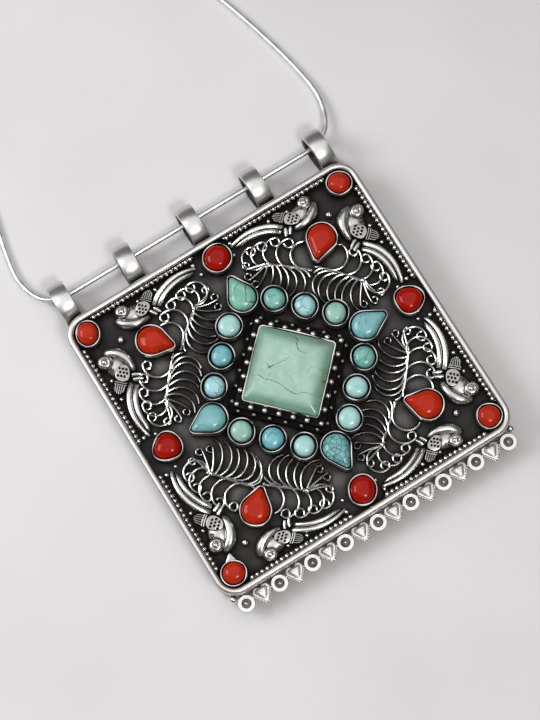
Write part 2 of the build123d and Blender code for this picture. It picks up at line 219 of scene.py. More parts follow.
def blob(radius, waves, count=48):
    """Nearly round outline; each wave is (number of lobes, share of the radius, direction)."""
    points = []
    for i in range(count):
        a = 2 * math.pi * i / count
        r = radius * (1 + sum(share * math.cos(n * (a - math.radians(turn))) for n, share, turn in waves))
        points.append((r * math.cos(a), r * math.sin(a)))
    return points


def rounded_box(x, y, radius, straight, bend):
    """Rectangle of half sizes x and y with rounded corners; straight and bend count its steps."""
    bends = []
    for quarter, (sx, sy) in enumerate(((1, 1), (-1, 1), (-1, -1), (1, -1))):
        middle = (sx * (x - radius), sy * (y - radius))
        bends.append(bow(middle, radius, math.pi / 2 * quarter, math.pi / 2, bend))
    points = []
    for here, ahead in zip(bends, bends[1:] + bends[:1]):
        points += here + [between(here[-1], ahead[0], i / straight) for i in range(1, straight)]
    return points


def rounded_triangle(half, top, point, soft):
    """Triangle outline with its point down and soft corners, against the clock."""
    corners = [(half, top), (-half, top), (0, point)]
    points = []
    for i, corner in enumerate(corners):
        before, after = corners[i - 1], corners[(i + 1) % 3]
        for t in (0.0, 0.25, 0.5, 0.75, 1.0):
            near = between(corner, before, soft * (1 - t) ** 2)
            points.append(tuple(p + (q - c) * soft * t**2 for p, q, c in zip(near, after, corner)))
        points += [between(corner, after, soft + (1 - 2 * soft) * t) for t in (0.25, 0.5, 0.75)]
    return points


def normals(path, closed):
    """Unit vectors to the left of a flat path at each of its points."""
    count = len(path)
    found = []
    for i in range(count):
        before = path[i - 1] if closed or i else path[0]
        after = path[(i + 1) % count] if closed or i + 1 < count else path[-1]
        dx, dy = after[0] - before[0], after[1] - before[1]
        size = math.hypot(dx, dy)
        found.append((-dy / size, dx / size))
    return found


def grow(outline, distance):
    """Outline moved outwards; it runs against the clock's hands."""
    sides = normals(outline, True)
    return [(x - nx * distance, y - ny * distance) for (x, y), (nx, ny) in zip(outline, sides)]


def shrink(outline, share, middle=ORIGIN):
    return [between(middle, point, share) for point in outline]


def lift(outline, z):
    return [(x, y, z) for x, y in outline]


def raised(profile, foot, tall=1.0):
    """Profile of (share of the outline, height) steps, made as tall as given and set on a foot."""
    return [(share, foot + tall * z) for share, z in profile]


WAVE_COUNT = 4


def wave(phases, turn):
    """Slow unevenness of handwork, within about one either way, along a closed turn from 0 to 1."""
    return sum(math.sin(2 * math.pi * (n + 2) * turn + p) for n, p in enumerate(phases)) / len(phases)


def phases(dice):
    return [dice.uniform(0, 2 * math.pi) for _ in range(WAVE_COUNT)]


# Solid forms

STRIP_ANGLES = (0.8, math.pi / 2, math.pi - 0.8)
CABOCHON_STEPS = 9
LIP_RISE = 0.1
LIP_SWAY = 0.05


def swept(path, section_at, closed=False):
    """Rings across a flat path; section_at gives the (sideways, height) points at a point by its number."""
    rings = []
    for i, ((x, y), (nx, ny)) in enumerate(zip(path, normals(path, closed))):
        rings.append([(x + nx * s, y + ny * s, z) for s, z in section_at(i)])
    return rings + rings[:1] if closed else rings


def strip(shape, path, place, wide, high):
    """Strip wire on edge along a flat path on the ground, with a rounded upper edge."""
    half = wide / 2
    shoulder = high - half
    over = [(half * math.cos(a), shoulder + half * math.sin(a)) for a in STRIP_ANGLES]
    section = [(half, ground), (half, shoulder), *over, (-half, shoulder), (-half, ground)]
    shape.skin(swept(path, lambda i: section), place)


def ridge(shape, path, place, wide, tall, taper=1.0):
    """Half-round bar along a flat path on the ground; its ends are thinned to the share taper."""

    def section(i):
        share = taper + (1 - taper) * math.sin(math.pi * i / (len(path) - 1))
        half = wide * share / 2
        top = tall * (0.6 + 0.4 * share)
        cap = min(0.55 * top, 0.9 * half)
        over = [(half * math.cos(a), ground + top - cap * (1 - math.sin(a))) for a in half_turn(6)]
        return [(half, ground), *over, (-half, ground)]

    shape.skin(swept(path, section), place)


def crescent(shape, outer, inner, place, high, dome):
    """Smooth bar between two flat paths, lower towards its ends; dome is its rounded share."""
    rings = []
    for i, (p, q) in enumerate(zip(outer, inner)):
        top = (high - ground) * math.sin(math.pi * (i + 0.7) / (len(outer) + 0.4)) ** 0.3
        ring = [(*p, ground)]
        for a in half_turn(10):
            spot = between(p, q, (1 - math.cos(a)) / 2)
            ring.append((*spot, ground + top * (1 - dome + dome * math.sin(a))))
        rings.append(ring + [(*q, ground)])
    shape.skin(rings, place)


def mound(shape, outline, profile, place, middle=ORIGIN):
    """Solid over an outline, built up of (share of the outline, height) steps that end on a pole."""
    rings = []
    for share, z in profile:
        rings.append(lift(shrink(outline, share, middle) if share else [middle], z))
    shape.skin(rings, place)


def cabochon(seat, girdle, top, edge=0.62):
    """Profile of a domed stone: straight up from its seat to the girdle, then over to the pole."""
    profile = [(1.0, seat), (1.0, girdle)]
    for k in range(1, CABOCHON_STEPS):
        a = math.pi / 2 * k / CABOCHON_STEPS
        profile.append((math.cos(a) ** edge, girdle + (top - girdle) * math.sin(a)))
    return profile + [(0, top)]


def cup(shape, outline, place, wall, gap, low, high, dice):
    """Bezel: a thin band round an outline, a gap away from it, with a lip that is never quite even."""
    own, lean = phases(dice), phases(dice)
    turns = [i / len(outline) for i in range(len(outline))]
    rings = []
    # Each step is its distance from the outline, its height, and how far the lip rises and sways there
    for out, z, rise, sway in (
        (wall, low, 0, 0),
        (wall, high - 0.8, 0, 0),
        (wall - 0.06, high - 0.25, LIP_RISE, 0),
        (wall - 0.17, high - 0.02, LIP_RISE, 0),
        (gap + 0.08, high - 0.02, LIP_RISE, LIP_SWAY),
        (gap, high - 0.15, LIP_RISE, LIP_SWAY),
        (gap, high - 1.6, 0, 0),
    ):
        ring = []
        for (x, y), turn in zip(grow(outline, out), turns):
            inwards = 1 - sway * wave(lean, turn)
            ring.append((x * inwards, y * inwards, z + rise * wave(own, turn)))
        rings.append(ring)
    shape.skin(rings, place, caps=False)


# Materials

DENT = 0.025
GLOSS = 0.2
SATIN = 0.34
CLOUD_MM = 2.6
GRAIN_MM = 0.25


def tint(red, green, blue):
    """Colour from 0 to 255 as the eye reads it, turned to linear light."""
    parts = [c / 255 for c in (red, green, blue)]
    return tuple(c / 12.92 if c <= 0.04045 else ((c + 0.055) / 1.055) ** 2.4 for c in parts) + (1.0,)


def feed(tree, sockets, values):
    """Links each socket to a value that is a socket, and sets it to any other value."""
    for socket, value in zip(sockets, values):
        if isinstance(value, bpy.types.NodeSocket):
            tree.links.new(value, socket)
        else:
            socket.default_value = value


def add(tree, kind, settings=None, **inputs):
    """Adds a node; inputs are named as its sockets are, with _ for a space."""
    made = tree.nodes.new("ShaderNode" + kind)
    for key, value in (settings or {}).items():
        setattr(made, key, value)
    feed(tree, [made.inputs[key.replace("_", " ")] for key in inputs], inputs.values())
    return made


def calc(tree, operation, *values):
    made = add(tree, "Math", {"operation": operation})
    feed(tree, made.inputs, values)
    return made.outputs[0]


def ramp(tree, factor, *stops):
    """Colour ramp over (place, colour) stops."""
    made = add(tree, "ValToRGB", Fac=factor)
    bar = made.color_ramp.elements
    bar[0].position, bar[0].color = stops[0]
    bar[1].position, bar[1].color = stops[-1]
    for place, colour in stops[1:-1]:
        bar.new(place).color = colour
    return made.outputs["Color"]


def mix(tree, factor, a, b):
    made = add(tree, "Mix", {"data_type": "RGBA"})
    feed(tree, (made.inputs[0], made.inputs[6], made.inputs[7]), (factor, a, b))
    return made.outputs[2]


def scaled(tree, value, low, high, to_low=0.0, to_high=1.0):
    made = add(tree, "MapRange", Value=value, From_Min=low, From_Max=high, To_Min=to_low, To_Max=to_high)
    return made.outputs[0]


def noise(tree, where, size_mm, detail, rough=0.55):
    """Cloudy noise whose blotches are about size_mm across."""
    made = add(tree, "TexNoise", Vector=where, Scale=1 / (size_mm * MM), Detail=detail, Roughness=rough)
    return made.outputs["Fac"]


def mapped(tree, where, **how):
    return add(tree, "Mapping", Vector=where, **how).outputs[0]


def open_air(tree, reach_mm):
    return add(tree, "AmbientOcclusion", {"samples": 6}, Distance=reach_mm * MM).outputs["AO"]


def height_of(tree, where):
    return add(tree, "SeparateXYZ", Vector=where).outputs["Z"]


def start(name, **sockets):
    material = bpy.data.materials.new(name)
    material.use_nodes = True
    tree = material.node_tree
    shader = tree.nodes["Principled BSDF"]
    for key, value in sockets.items():
        shader.inputs[key.replace("_", " ")].default_value = value
    where = add(tree, "TexCoord").outputs["Object"]
    return material, tree, shader, where


def dress(tree, shader, colour, rough, height, depth_mm, strength=0.6):
    """Links a shader's colour, its roughness and its fine relief."""
    relief = add(tree, "Bump", Height=height, Strength=strength, Distance=depth_mm * MM)
    feed(tree, [shader.inputs[key] for key in ("Base Color", "Roughness")], (colour, rough))
    tree.links.new(relief.outputs["Normal"], shader.inputs["Normal"])


def silver(name, low, high, dark, bright, reach_mm=1.4, worn=0.0, dent_mm=DENT, polish=GLOSS):
    """Silver that is blackened in its hollows and rubbed bright from the height low up to high.

    polish is the roughness where it is rubbed most.
    """
    material, tree, shader, where = start(name, Metallic=1.0)
    dark, bright = tint(*dark), tint(*bright)
    lifted = scaled(tree, height_of(tree, where), low * MM, high * MM)
    clouds = noise(tree, where, CLOUD_MM, 4.0)
    grain = noise(tree, where, GRAIN_MM, 3.0, 0.6)
    rubbed = calc(tree, "MULTIPLY", lifted, scaled(tree, open_air(tree, reach_mm), 0.25, 0.85))
    blotchy = calc(tree, "MULTIPLY_ADD", calc(tree, "SUBTRACT", clouds, 0.5), 0.35, rubbed)
    shine = calc(tree, "ADD", blotchy, worn)
    middle = tuple(0.45 * b + 0.55 * d for b, d in zip(bright, dark))
    colour = ramp(tree, shine, (0.08, dark), (0.45, middle), (0.78, bright))
    rough = calc(tree, "MULTIPLY_ADD", grain, 0.12, scaled(tree, shine, 0.1, 0.9, 0.52, polish))
    dents = calc(tree, "MULTIPLY_ADD", grain, 0.25, calc(tree, "MULTIPLY", clouds, 2.0))
    dress(tree, shader, colour, rough, dents, dent_mm)
    return material


def darkening(material, dark, share_of):
    """Darkens a silver by a share that depends on the distances across and up from the case's middle."""
    tree = material.node_tree
    base = tree.nodes["Principled BSDF"].inputs["Base Color"]
    place = add(tree, "SeparateXYZ", Vector=add(tree, "TexCoord").outputs["Object"]).outputs
    away = [calc(tree, "ABSOLUTE", calc(tree, "SUBTRACT", place[i], case_middle[i])) for i in (0, 1)]
    tree.links.new(mix(tree, share_of(tree, *away), base.links[0].from_socket, tint(*dark)), base)


def sheet_silver(name, bright, dark):
    """Plain sheet with fine scratches from wear and a thin, patchy tarnish."""
    material, tree, shader, where = start(name, Metallic=1.0)
    patches = noise(tree, where, 9.0, 5.0, 0.6)
    scratches = noise(tree, mapped(tree, where, Rotation=(0, 0, 0.5), Scale=(1, 14, 1)), 4.0, 6.0, 0.7)
    bare = scaled(tree, patches, 0.25, 0.6)
    clean = calc(tree, "MULTIPLY", bare, scaled(tree, open_air(tree, 2.0), 0.3, 0.9))
    colour = ramp(tree, clean, (0.0, tint(*dark)), (1.0, tint(*bright)))
    dress(tree, shader, colour, scaled(tree, scratches, 0.3, 0.7, 0.32, 0.5), scratches, 0.02, 0.35)
    return material


def coral(name, light, deep, seed):
    """Polished coral: clouded red with darker growth bands and a few pin holes."""
    material, tree, shader, where = start(
        name, Coat_Weight=0.06, Coat_Roughness=0.08, IOR=1.5, Specular_IOR_Level=0.16,
    )
    shifted = mapped(tree, where, Location=(seed * 0.013, seed * 0.007, 0))
    clouds = noise(tree, shifted, 3.2, 4.0)
    bands = noise(tree, mapped(tree, shifted, Scale=(1, 4, 1)), 2.2, 3.0)
    blend = calc(tree, "MULTIPLY_ADD", bands, 0.3, calc(tree, "MULTIPLY", clouds, 0.65))
    holes = noise(tree, shifted, 0.7, 2.0, 0.4)
    red = ramp(tree, blend, (0.25, tint(*deep)), (0.7, tint(*light)))
    colour = mix(tree, scaled(tree, holes, 0.22, 0.27, 0.75, 0.0), red, tint(90, 16, 10))
    dress(tree, shader, colour, scaled(tree, clouds, 0.3, 0.7, 0.1, 0.18), holes, 0.02, 0.25)
    return material


def turquoise(name, pale, deep, vein, seed, cell_mm, thin, veined, girdle=None):
    """Turquoise: clouded blue-green with a net of dark veins that shows in patches.

    A girdle of (low, high, shade colour, stain colour) gives the stone painted shade below the height high,
    in the shade colour with patches of stain.
    """
    material, tree, shader, where = start(name, Coat_Weight=0.2, Coat_Roughness=0.15, IOR=1.5)
    shifted = mapped(tree, where, Location=(seed * 0.011, seed * 0.017, 0))
    clouds = noise(tree, shifted, 2.4, 5.0, 0.6)
    warp = add(tree, "TexNoise", Vector=shifted, Scale=1 / (1.6 * MM), Detail=3.0)
    pushed = add(tree, "VectorMath", {"operation": "SCALE"}, Vector=warp.outputs["Color"], Scale=0.9 * MM)
    bent = add(tree, "VectorMath", {"operation": "ADD"})
    feed(tree, bent.inputs, (shifted, pushed.outputs[0]))
    cells = {"feature": "DISTANCE_TO_EDGE"}
    net = add(tree, "TexVoronoi", cells, Vector=bent.outputs[0], Scale=1 / (cell_mm * MM))
    line = scaled(tree, net.outputs["Distance"], 0.0, thin, 1.0, 0.0)
    patches = scaled(tree, noise(tree, shifted, 3.4, 2.0), 0.62 - 0.3 * veined, 0.72 - 0.3 * veined)
    cracks = calc(tree, "MULTIPLY", calc(tree, "MULTIPLY", line, patches), 0.9)
    colour = ramp(tree, clouds, (0.28, tint(*deep)), (0.68, tint(*pale)))
    # Painted shade on the lower flanks, mixed with patches of real stain
    if girdle:
        low, high, edge, patch = girdle
        flank = scaled(tree, height_of(tree, where), low * MM, high * MM, 1.0, 0.0)
        stained = scaled(tree, noise(tree, shifted, 5.0, 4.0, 0.6), 0.5, 0.66, 0.0, 0.6)
        colour = mix(tree, flank, colour, mix(tree, stained, tint(*edge), tint(*patch)))
    colour = mix(tree, cracks, colour, tint(*vein))
    relief = calc(tree, "SUBTRACT", clouds, cracks)
    dress(tree, shader, colour, scaled(tree, clouds, 0.3, 0.7, 0.3, 0.2), relief, 0.05, 0.3)
    return material


def chain_look(name):
    """Snake chain: fine rings across a bright, close-linked tube."""
    material, tree, shader, where = start(name, Metallic=1.0)
    along = add(tree, "TexCoord").outputs["UV"]
    bands = {"wave_type": "BANDS", "bands_direction": "X"}
    links = add(tree, "TexWave", bands, Vector=along, Scale=60.0).outputs["Fac"]
    clouds = noise(tree, where, 5.0, 3.0)
    shade = calc(tree, "MULTIPLY_ADD", links, 0.25, calc(tree, "MULTIPLY", clouds, 0.9))
    colour = ramp(tree, shade, (0.2, tint(186, 184, 182)), (0.65, tint(240, 239, 237)))
    dress(tree, shader, colour, scaled(tree, clouds, 0.3, 0.7, 0.42, 0.34), links, 0.03, 0.35)
    return material


# Distances from the case's middle lines between which painted shade darkens the ground's corners and edges,
# and how much
CORNER_FROM, CORNER_TO, CORNER_SHADE = 17.0, 24.0, 0.8
EDGE_FROM, EDGE_TO, EDGE_SHADE = 24.0, 31.0, 0.7
# Sums of both distances between which the filigree is still darkened, and how much
INNER_FROM, INNER_TO, INNER_DARKENING = 28.5, 36.0, 0.82


def ground_shade_share(tree, across, up):
    """Painted shade on the plate: darker in the corners, round the birds, and along its edges."""
    nearer, farther = calc(tree, "MINIMUM", across, up), calc(tree, "MAXIMUM", across, up)
    corner = scaled(tree, nearer, CORNER_FROM * MM, CORNER_TO * MM, 0.0, CORNER_SHADE)
    edge = scaled(tree, farther, EDGE_FROM * MM, EDGE_TO * MM, 0.0, EDGE_SHADE)
    return calc(tree, "MAXIMUM", corner, edge)


def filigree_share(tree, across, up):
    """The strip wire is darker near the ring of stones."""
    return scaled(tree, calc(tree, "ADD", across, up), INNER_FROM * MM, INNER_TO * MM, INNER_DARKENING, 0.0)


BLACK, GREY, WHITE = (40, 37, 36), (92, 87, 84), (226, 223, 219)
# Silvers: the heights between which each is rubbed bright, its dark and its bright colour, the reach of its
# hollows, its wear, the depth of its dents, and its polish
SILVERS = {
    "filigree": (ground - 0.4, ground + 1.2, BLACK, (216, 212, 208), 0.7, 0.1, 0.006),
    "relief": (ground + 0.7, ground + 2.2, BLACK, (198, 195, 191), 1.0, 0.1),
    "wing": (ground + 1.6, ground + 2.3, BLACK, (172, 169, 165), 0.5),
    "feather": (ground + 0.7, ground + 1.7, BLACK, WHITE, 0.45, 0.15),
    "bezel": (ground + 1.6, ground + 4.0, BLACK, (222, 218, 213), 0.8, 0.1),
    "granule": (ground + 1.8, ground + 3.6, BLACK, WHITE, 0.6, 0.15, DENT, SATIN),
    # Painted shade: a darker copy of the granule silver for the lower row, under the upper one
    "shaded_granule": (ground, ground + 4.0, (20, 19, 18), (128, 124, 121), 0.6),
    "border": (rim_base - 1.7, rim_base - 0.3, BLACK, (222, 217, 212), 0.7, 0.1),
    "rim": (rim_base - 0.6, rim_base + 0.8, GREY, (206, 203, 199), 1.5, 0.15, DENT, SATIN),
    "wall": (-1.0, rim_base + 2.0, GREY, (204, 200, 196), 3.0, 0.1),
    "bail": (1.0, 9.5, (62, 58, 56), (214, 212, 209), 2.0, 0.05, 0.03, 0.27),
    "fringe": (4.5, 5.1, (34, 31, 30), WHITE, 0.4, 0.12, 0.012, 0.4),
    "dome": (4.1, 5.2, (48, 45, 44), (196, 192, 189), 0.4),
    "end_bead": (3.6, 4.8, GREY, WHITE, 0.4),
    "ground": (ground - 6.0, ground + 6.0, (30, 28, 28), (138, 134, 134), 2.5, -0.09),
    "base": (ground + 2.0, ground + 9.0, (24, 22, 21), (104, 100, 98), 1.4, -0.08),
}
looks = {name: silver(f"{name}_silver", *row) for name, row in SILVERS.items()}
# Painted shade on the ground's corners and edges; the filigree is darker towards the ring of stones
for name, share_of in (("filigree", filigree_share), ("ground", ground_shade_share)):
    darkening(looks[name], SILVERS[name][2], share_of)
looks["back"] = sheet_silver("back_silver", (206, 202, 196), (118, 108, 98))
looks["chain"] = chain_look("chain_silver")

# CAD nodes that are shown as they are, by their look
BARE_NODES = {
    "wall": ("case_wall", "panel_stop", "panel_guide_top", "panel_guide_bottom"),
    "back": ("back_frame", "back_panel"),
    "ground": ("ground_plate",),
    "base": ("centre_base",),
    "chain": ("chain_hook", "chain_eye"),
}
for look, nodes in BARE_NODES.items():
    for node in nodes:
        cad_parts[node].data.materials.clear()
        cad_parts[node].data.materials.append(looks[look])

# Rim wire and beaded border

RIM_WIDE = 1.5
RIM_CORNER = 5.0
RIM_UNEVEN = 0.05
RIM_THINNER = 0.03


def rim_wire():
    dice = random.Random("rim")
    sideways, upwards = phases(dice), phases(dice)
    inset = RIM_WIDE / 2
    middle = rounded_box(half_x - inset, half_y - inset, RIM_CORNER - inset, 40, 10)

    def section(i):
        turn = i / len(middle)
        shift = RIM_UNEVEN * wave(sideways, turn)
        top = (rim_top - rim_base) * (1 + RIM_UNEVEN * wave(upwards, turn))
        half = inset * (1 - RIM_THINNER + RIM_THINNER * wave(upwards, turn))
        ring = [(half + shift, rim_base)]
        for a in half_turn(8):
            ring.append((half * math.cos(a) + shift, rim_base + top * (0.3 + 0.7 * math.sin(a) ** 0.9)))
        return ring + [(shift - half, rim_base)]

    shape = Shape()
    shape.skin(swept(middle, section, True), caps=False)
    shape.make("rim_wire_half_round", looks["rim"], ["rim_wire"])


BEAD_PITCH = 1.27
BEAD_RADIUS = BEAD_PITCH / 2 * 0.98
BEAD_INWARDS = 0.3
BEAD_SHAKE = 0.05
FOOT_SHARE = 0.55


def beaded_stretch(shape, low, high, dice):
    """Beads on a narrow foot along one solid of the border."""
    along = 0 if high.x - low.x > high.y - low.y else 1
    across = 1 - along
    middle = (low + high) / 2
    ends = [list(middle)[:2], list(middle)[:2]]
    ends[0][along] = low[along]
    ends[1][along] = high[along]
    level = high.z - BEAD_RADIUS
    strip(shape, ends, Matrix.Identity(4), FOOT_SHARE * (high[across] - low[across]), level)
    run = high[along] - low[along]
    count = int(run / BEAD_PITCH)
    for i in range(count):
        spot = middle.copy()
        spot[along] = low[along] + run * (i + 0.5) / count
        spot[across] += dice.uniform(-BEAD_SHAKE, BEAD_SHAKE) - math.copysign(BEAD_INWARDS, spot[across])
        spot.z = level
        shape.ball(spot, BEAD_RADIUS * dice.uniform(0.94, 1.0), dice.uniform(0.92, 1.0), 10, 6)


def beaded_border():
    for side in ("top", "right", "bottom", "left"):
        node = f"border_{side}"
        dice = random.Random(node)
        shape = Shape()
        for low, high in solids_mm(node):
            beaded_stretch(shape, low, high, dice)
        shape.make(f"beaded_wire_{side}", looks["border"], [node])


rim_wire()
beaded_border()

# Settings: stones in their bezels. Each one keeps the scrolls of wire clear of its foot.

BEZEL_WALL = 0.5
BEZEL_GAP = 0.1
STONE_TILT = 3
STONE_LOOSE = 1.6
STONE_SEAT = 1.4
STONE_GIRDLE = 0.25
STONE_SHARP = 60
stone_low, stone_high = box_mm("centre_turquoise")
stones_at = at((stone_low.x + stone_high.x) / 2, (stone_low.y + stone_high.y) / 2)
taken = []


def keep_clear(place, spots):
    for x, y, r in spots:
        spot = place @ Vector((x, y, 0))
        taken.append((spot.x, spot.y, r))


class Settings:
    """Stones of one CAD node in bezels of another; proud is how far a stone stands above its solid."""

    def __init__(self, stones, bezels, slot, wall=BEZEL_WALL, gap=BEZEL_GAP, proud=0.0):
        self.stones, self.bezels, self.slot = stones, bezels, slot
        self.wall, self.gap = wall, gap
        self.top = top_of(bezels)
        self.crown = top_of(stones) - self.top + proud
        self.cups = Shape()

    def place(self, name, outline, place, material, fill, middle=ORIGIN):
        """Adds a bezel and makes its stone; fill is how much of the bezel the stone takes up."""
        dice = random.Random(name)
        cup(self.cups, outline, place, self.wall, self.gap, ground, self.top, dice)
        tilt = turned(dice.uniform(-STONE_TILT, STONE_TILT), "X")
        loose = (1 - fill) * STONE_LOOSE
        lifted = at(dice.uniform(-loose, loose), dice.uniform(-loose, loose), self.top)
        steps = cabochon(self.top - STONE_SEAT, self.top - STONE_GIRDLE, self.top + self.crown)
        stone = Shape()
        mound(stone, shrink(outline, fill, middle), raised(steps, -self.top), place @ lifted @ tilt, middle)
        stone.make(name, material, [self.stones], self.slot, STONE_SHARP)

    def close(self, name):
        self.cups.make(name, looks["bezel"], [self.bezels])


# Turquoises: the pale, the deep and the vein colour, a seed, the size of the net's cells, the width of its
# veins as a share of that, and how much of the stone is veined
TURQUOISES = {
    "teal": ((132, 188, 178), (86, 150, 140), (48, 66, 58), 1, 3.4, 0.03, 0.3),
    "sky": ((168, 212, 216), (130, 188, 196), (44, 56, 60), 2, 2.8, 0.045, 0.6),
    "aqua": ((176, 215, 211), (142, 194, 191), (104, 134, 126), 3, 3.0, 0.03, 0.2),
    "blue": ((126, 188, 196), (84, 156, 168), (46, 78, 82), 4, 2.6, 0.03, 0.4),
    "mint": ((158, 198, 186), (116, 166, 152), (84, 98, 82), 5, 3.0, 0.03, 0.35),
    "web": ((130, 188, 188), (84, 148, 150), (38, 70, 70), 6, 1.3, 0.11, 1.2),
    "leaf": ((138, 194, 174), (94, 158, 136), (30, 42, 38), 8, 4.5, 0.05, 0.6),
    "clear": ((132, 186, 188), (98, 158, 163), (48, 66, 66), 9, 5.0, 0.025, 0.5),
    "matrix": ((84, 80, 60), (48, 46, 38), (28, 26, 24), 12, 0.8, 0.1, 1.0),
}
stone_looks = {name: turquoise(f"turquoise_{name}", *row) for name, row in TURQUOISES.items()}
bright_coral = coral("coral_bright", (188, 48, 20), (160, 26, 6), 1)
deep_coral = coral("coral_deep", (170, 22, 4), (140, 8, 2), 2)

ROUND_WALL = 0.76
ROUND_GAP = 0.42
# Round stones clockwise from the one beside the top drop
ROUND_TINTS = ("teal", "sky", "mint", "teal", "aqua", "aqua", "aqua", "blue", "mint", "sky", "blue", "aqua")


def clock(spot):
    """Angle of a spot clockwise from the top, about the middle of the stones."""
    away = spot - stones_at.translation
    return math.atan2(away.x, away.y) % (2 * math.pi)


def round_turquoises():
    group = Settings("round_turquoises", "round_bezels", "turquoise", ROUND_WALL, ROUND_GAP)
    low, high = solids_mm("round_turquoises")[0]
    radius = (high.x - low.x) / 2
    for i, spot in enumerate(sorted(middles("round_turquoises"), key=clock)):
        dice = random.Random(f"round {i}")
        place = at(spot.x, spot.y)
        outline = blob(radius, [(2, 0.02, dice.uniform(0, 180)), (3, 0.012, dice.uniform(0, 120))], 40)
        look = stone_looks[ROUND_TINTS[i]]
        group.place(f"turquoise_round_{i + 1}", outline, place, look, dice.uniform(0.92, 1.0))
        keep_clear(place, [(0, 0, radius + ROUND_WALL)])
    group.close("turquoise_round_bezels")


TURQUOISE_DROP = (6.5, 8.9)
TURQUOISE_DROP_GAP = 0.15
TURQUOISE_DROP_FILL = 0.95
CORAL_DROP = (6.7, 8.7)
CORAL_DROP_FILL = 0.97
DROP_TIP = 0.75
DROP_SLACK = 0.08
DROP_ROUND_STEPS = 28
DROP_TIP_STEPS = 7
DROP_FLANK_STEPS = 5
DROP_DISCS = 5
# Drops of turquoise by the side that they point to: the turn and the look
DROP_ROWS = {"top": (0, "leaf"), "left": (90, "clear"), "bottom": (180, "web"), "right": (270, "clear")}


def drop(width, length):
    """Drop outline with its round end at the origin and its point along +Y."""
    big = width / 2
    reach = length - big - DROP_TIP
    lean = math.asin((big - DROP_TIP) / reach)
    points = bow(ORIGIN, big, math.pi - lean, math.pi + 2 * lean, DROP_ROUND_STEPS)
    tip = bow((0, reach), DROP_TIP, lean, math.pi - 2 * lean, DROP_TIP_STEPS)
    flank = [between(points[-1], tip[0], i / DROP_FLANK_STEPS) for i in range(1, DROP_FLANK_STEPS)]
    return points + flank + tip + mirrored(flank)


def drop_spots(width, length):
    """Discs that cover a drop's bezel, from its round end to its point."""
    reach = length - width / 2 - DROP_TIP
    steps = [i / (DROP_DISCS - 1) for i in range(DROP_DISCS)]
    return [(0, reach * t, width / 2 * (1 - t) + DROP_TIP * t + BEZEL_WALL) for t in steps]


def set_drop(group, name, size, place, material, fill):
    width, length = size
    outline = drop(width - DROP_SLACK, length - DROP_SLACK)
    group.place(name, outline, place, material, fill, (0, (length - width) / 2))
    keep_clear(place, drop_spots(width, length))


def turquoise_drops():
    group = Settings("turquoise_drops", "turquoise_drop_bezels", "turquoise", gap=TURQUOISE_DROP_GAP)
    low, high = box_mm("turquoise_drops")
    width, length = TURQUOISE_DROP
    out = (high.y - low.y) / 2 - length + width / 2
    for side, (turn, look) in DROP_ROWS.items():
        place = stones_at @ turned(turn) @ at(0, out)
        name = f"turquoise_drop_{side}"
        set_drop(group, name, TURQUOISE_DROP, place, stone_looks[look], TURQUOISE_DROP_FILL)
    group.close("turquoise_drop_cups")


def coral_drops():
    group = Settings("coral_drops", "coral_drop_bezels", "coral")
    low, high = box_mm("coral_drops")
    out = ((high.x - low.x) / 2 - CORAL_DROP[0] / 2) * math.sqrt(2)
    for i in range(4):
        place = stones_at @ turned(45 + 90 * i) @ at(0, out) @ turned(180)
        set_drop(group, f"coral_drop_{i + 1}", CORAL_DROP, place, bright_coral, CORAL_DROP_FILL)
    group.close("coral_drop_cups")


CORAL_PROUD = 0.3
CORAL_FILL = 0.96
CORAL_SLACK = 0.98
# Outlines of the corals at the middle of the left, bottom, top and right side
SIDE_CORAL_WAVES = [
    [(3, 0.06, 191), (2, 0.03, 191)], [(2, 0.06, 239)], [(2, 0.02, 20)], [(3, 0.06, 239), (2, 0.02, 150)],
]
# Outlines of the corals in the corners, the lower and the upper left one first
CORNER_CORAL_WAVES = [[(2, 0.02, 0)], [(2, 0.06, 250)], [(3, 0.02, 0)], [(2, 0.05, 149)]]


def round_corals(name, waves, material):
    group = Settings(f"{name}s", f"{name}_bezels", "coral", proud=CORAL_PROUD)
    for i, (low, high) in enumerate(solids_mm(f"{name}s")):
        spot = (low + high) / 2
        radius = (high.x - low.x) / 2
        place = at(spot.x, spot.y)
        group.place(f"{name}_{i + 1}", blob(radius * CORAL_SLACK, waves[i]), place, material, CORAL_FILL)
        keep_clear(place, [(0, 0, radius + BEZEL_WALL)])
    group.close(f"{name}_cups")


round_turquoises()
turquoise_drops()
coral_drops()
round_corals("side_coral", SIDE_CORAL_WAVES, deep_coral)
round_corals("corner_coral", CORNER_CORAL_WAVES, bright_coral)

# Centre stone on its base, standing on a corner

QUARTER = stones_at @ turned(45)
STONE_CORNER = 0.7
CENTRE_WALL = 0.42
CENTRE_GAP = 0.04
# Heights of the stone's face, from its bezel at 0 to its top at 1, by shares of its outline
CENTRE_STEPS = [
    (1.0, 0.0), (0.985, 0.16), (0.94, 0.34), (0.87, 0.54), (0.79, 0.74), (0.71, 0.89), (0.64, 0.96),
    (0.56, 0.99), (0.0, 1.0),
]
# Pale, deep and vein colour, seed and net of the stone, then the painted shade on its girdle and the colour
# of its stains
CENTRE_LOOK = ((172, 203, 191), (142, 180, 164), (108, 110, 84), 11, 7.0, 0.012, 0.2)
FLANK_SHADE_AND_STAIN = ((110, 150, 131), (104, 106, 76))
# Shares of the crown between which the painted shade on the flanks fades out
FLANK_SHADE_FROM, FLANK_SHADE_TO = 0.5, 0.99
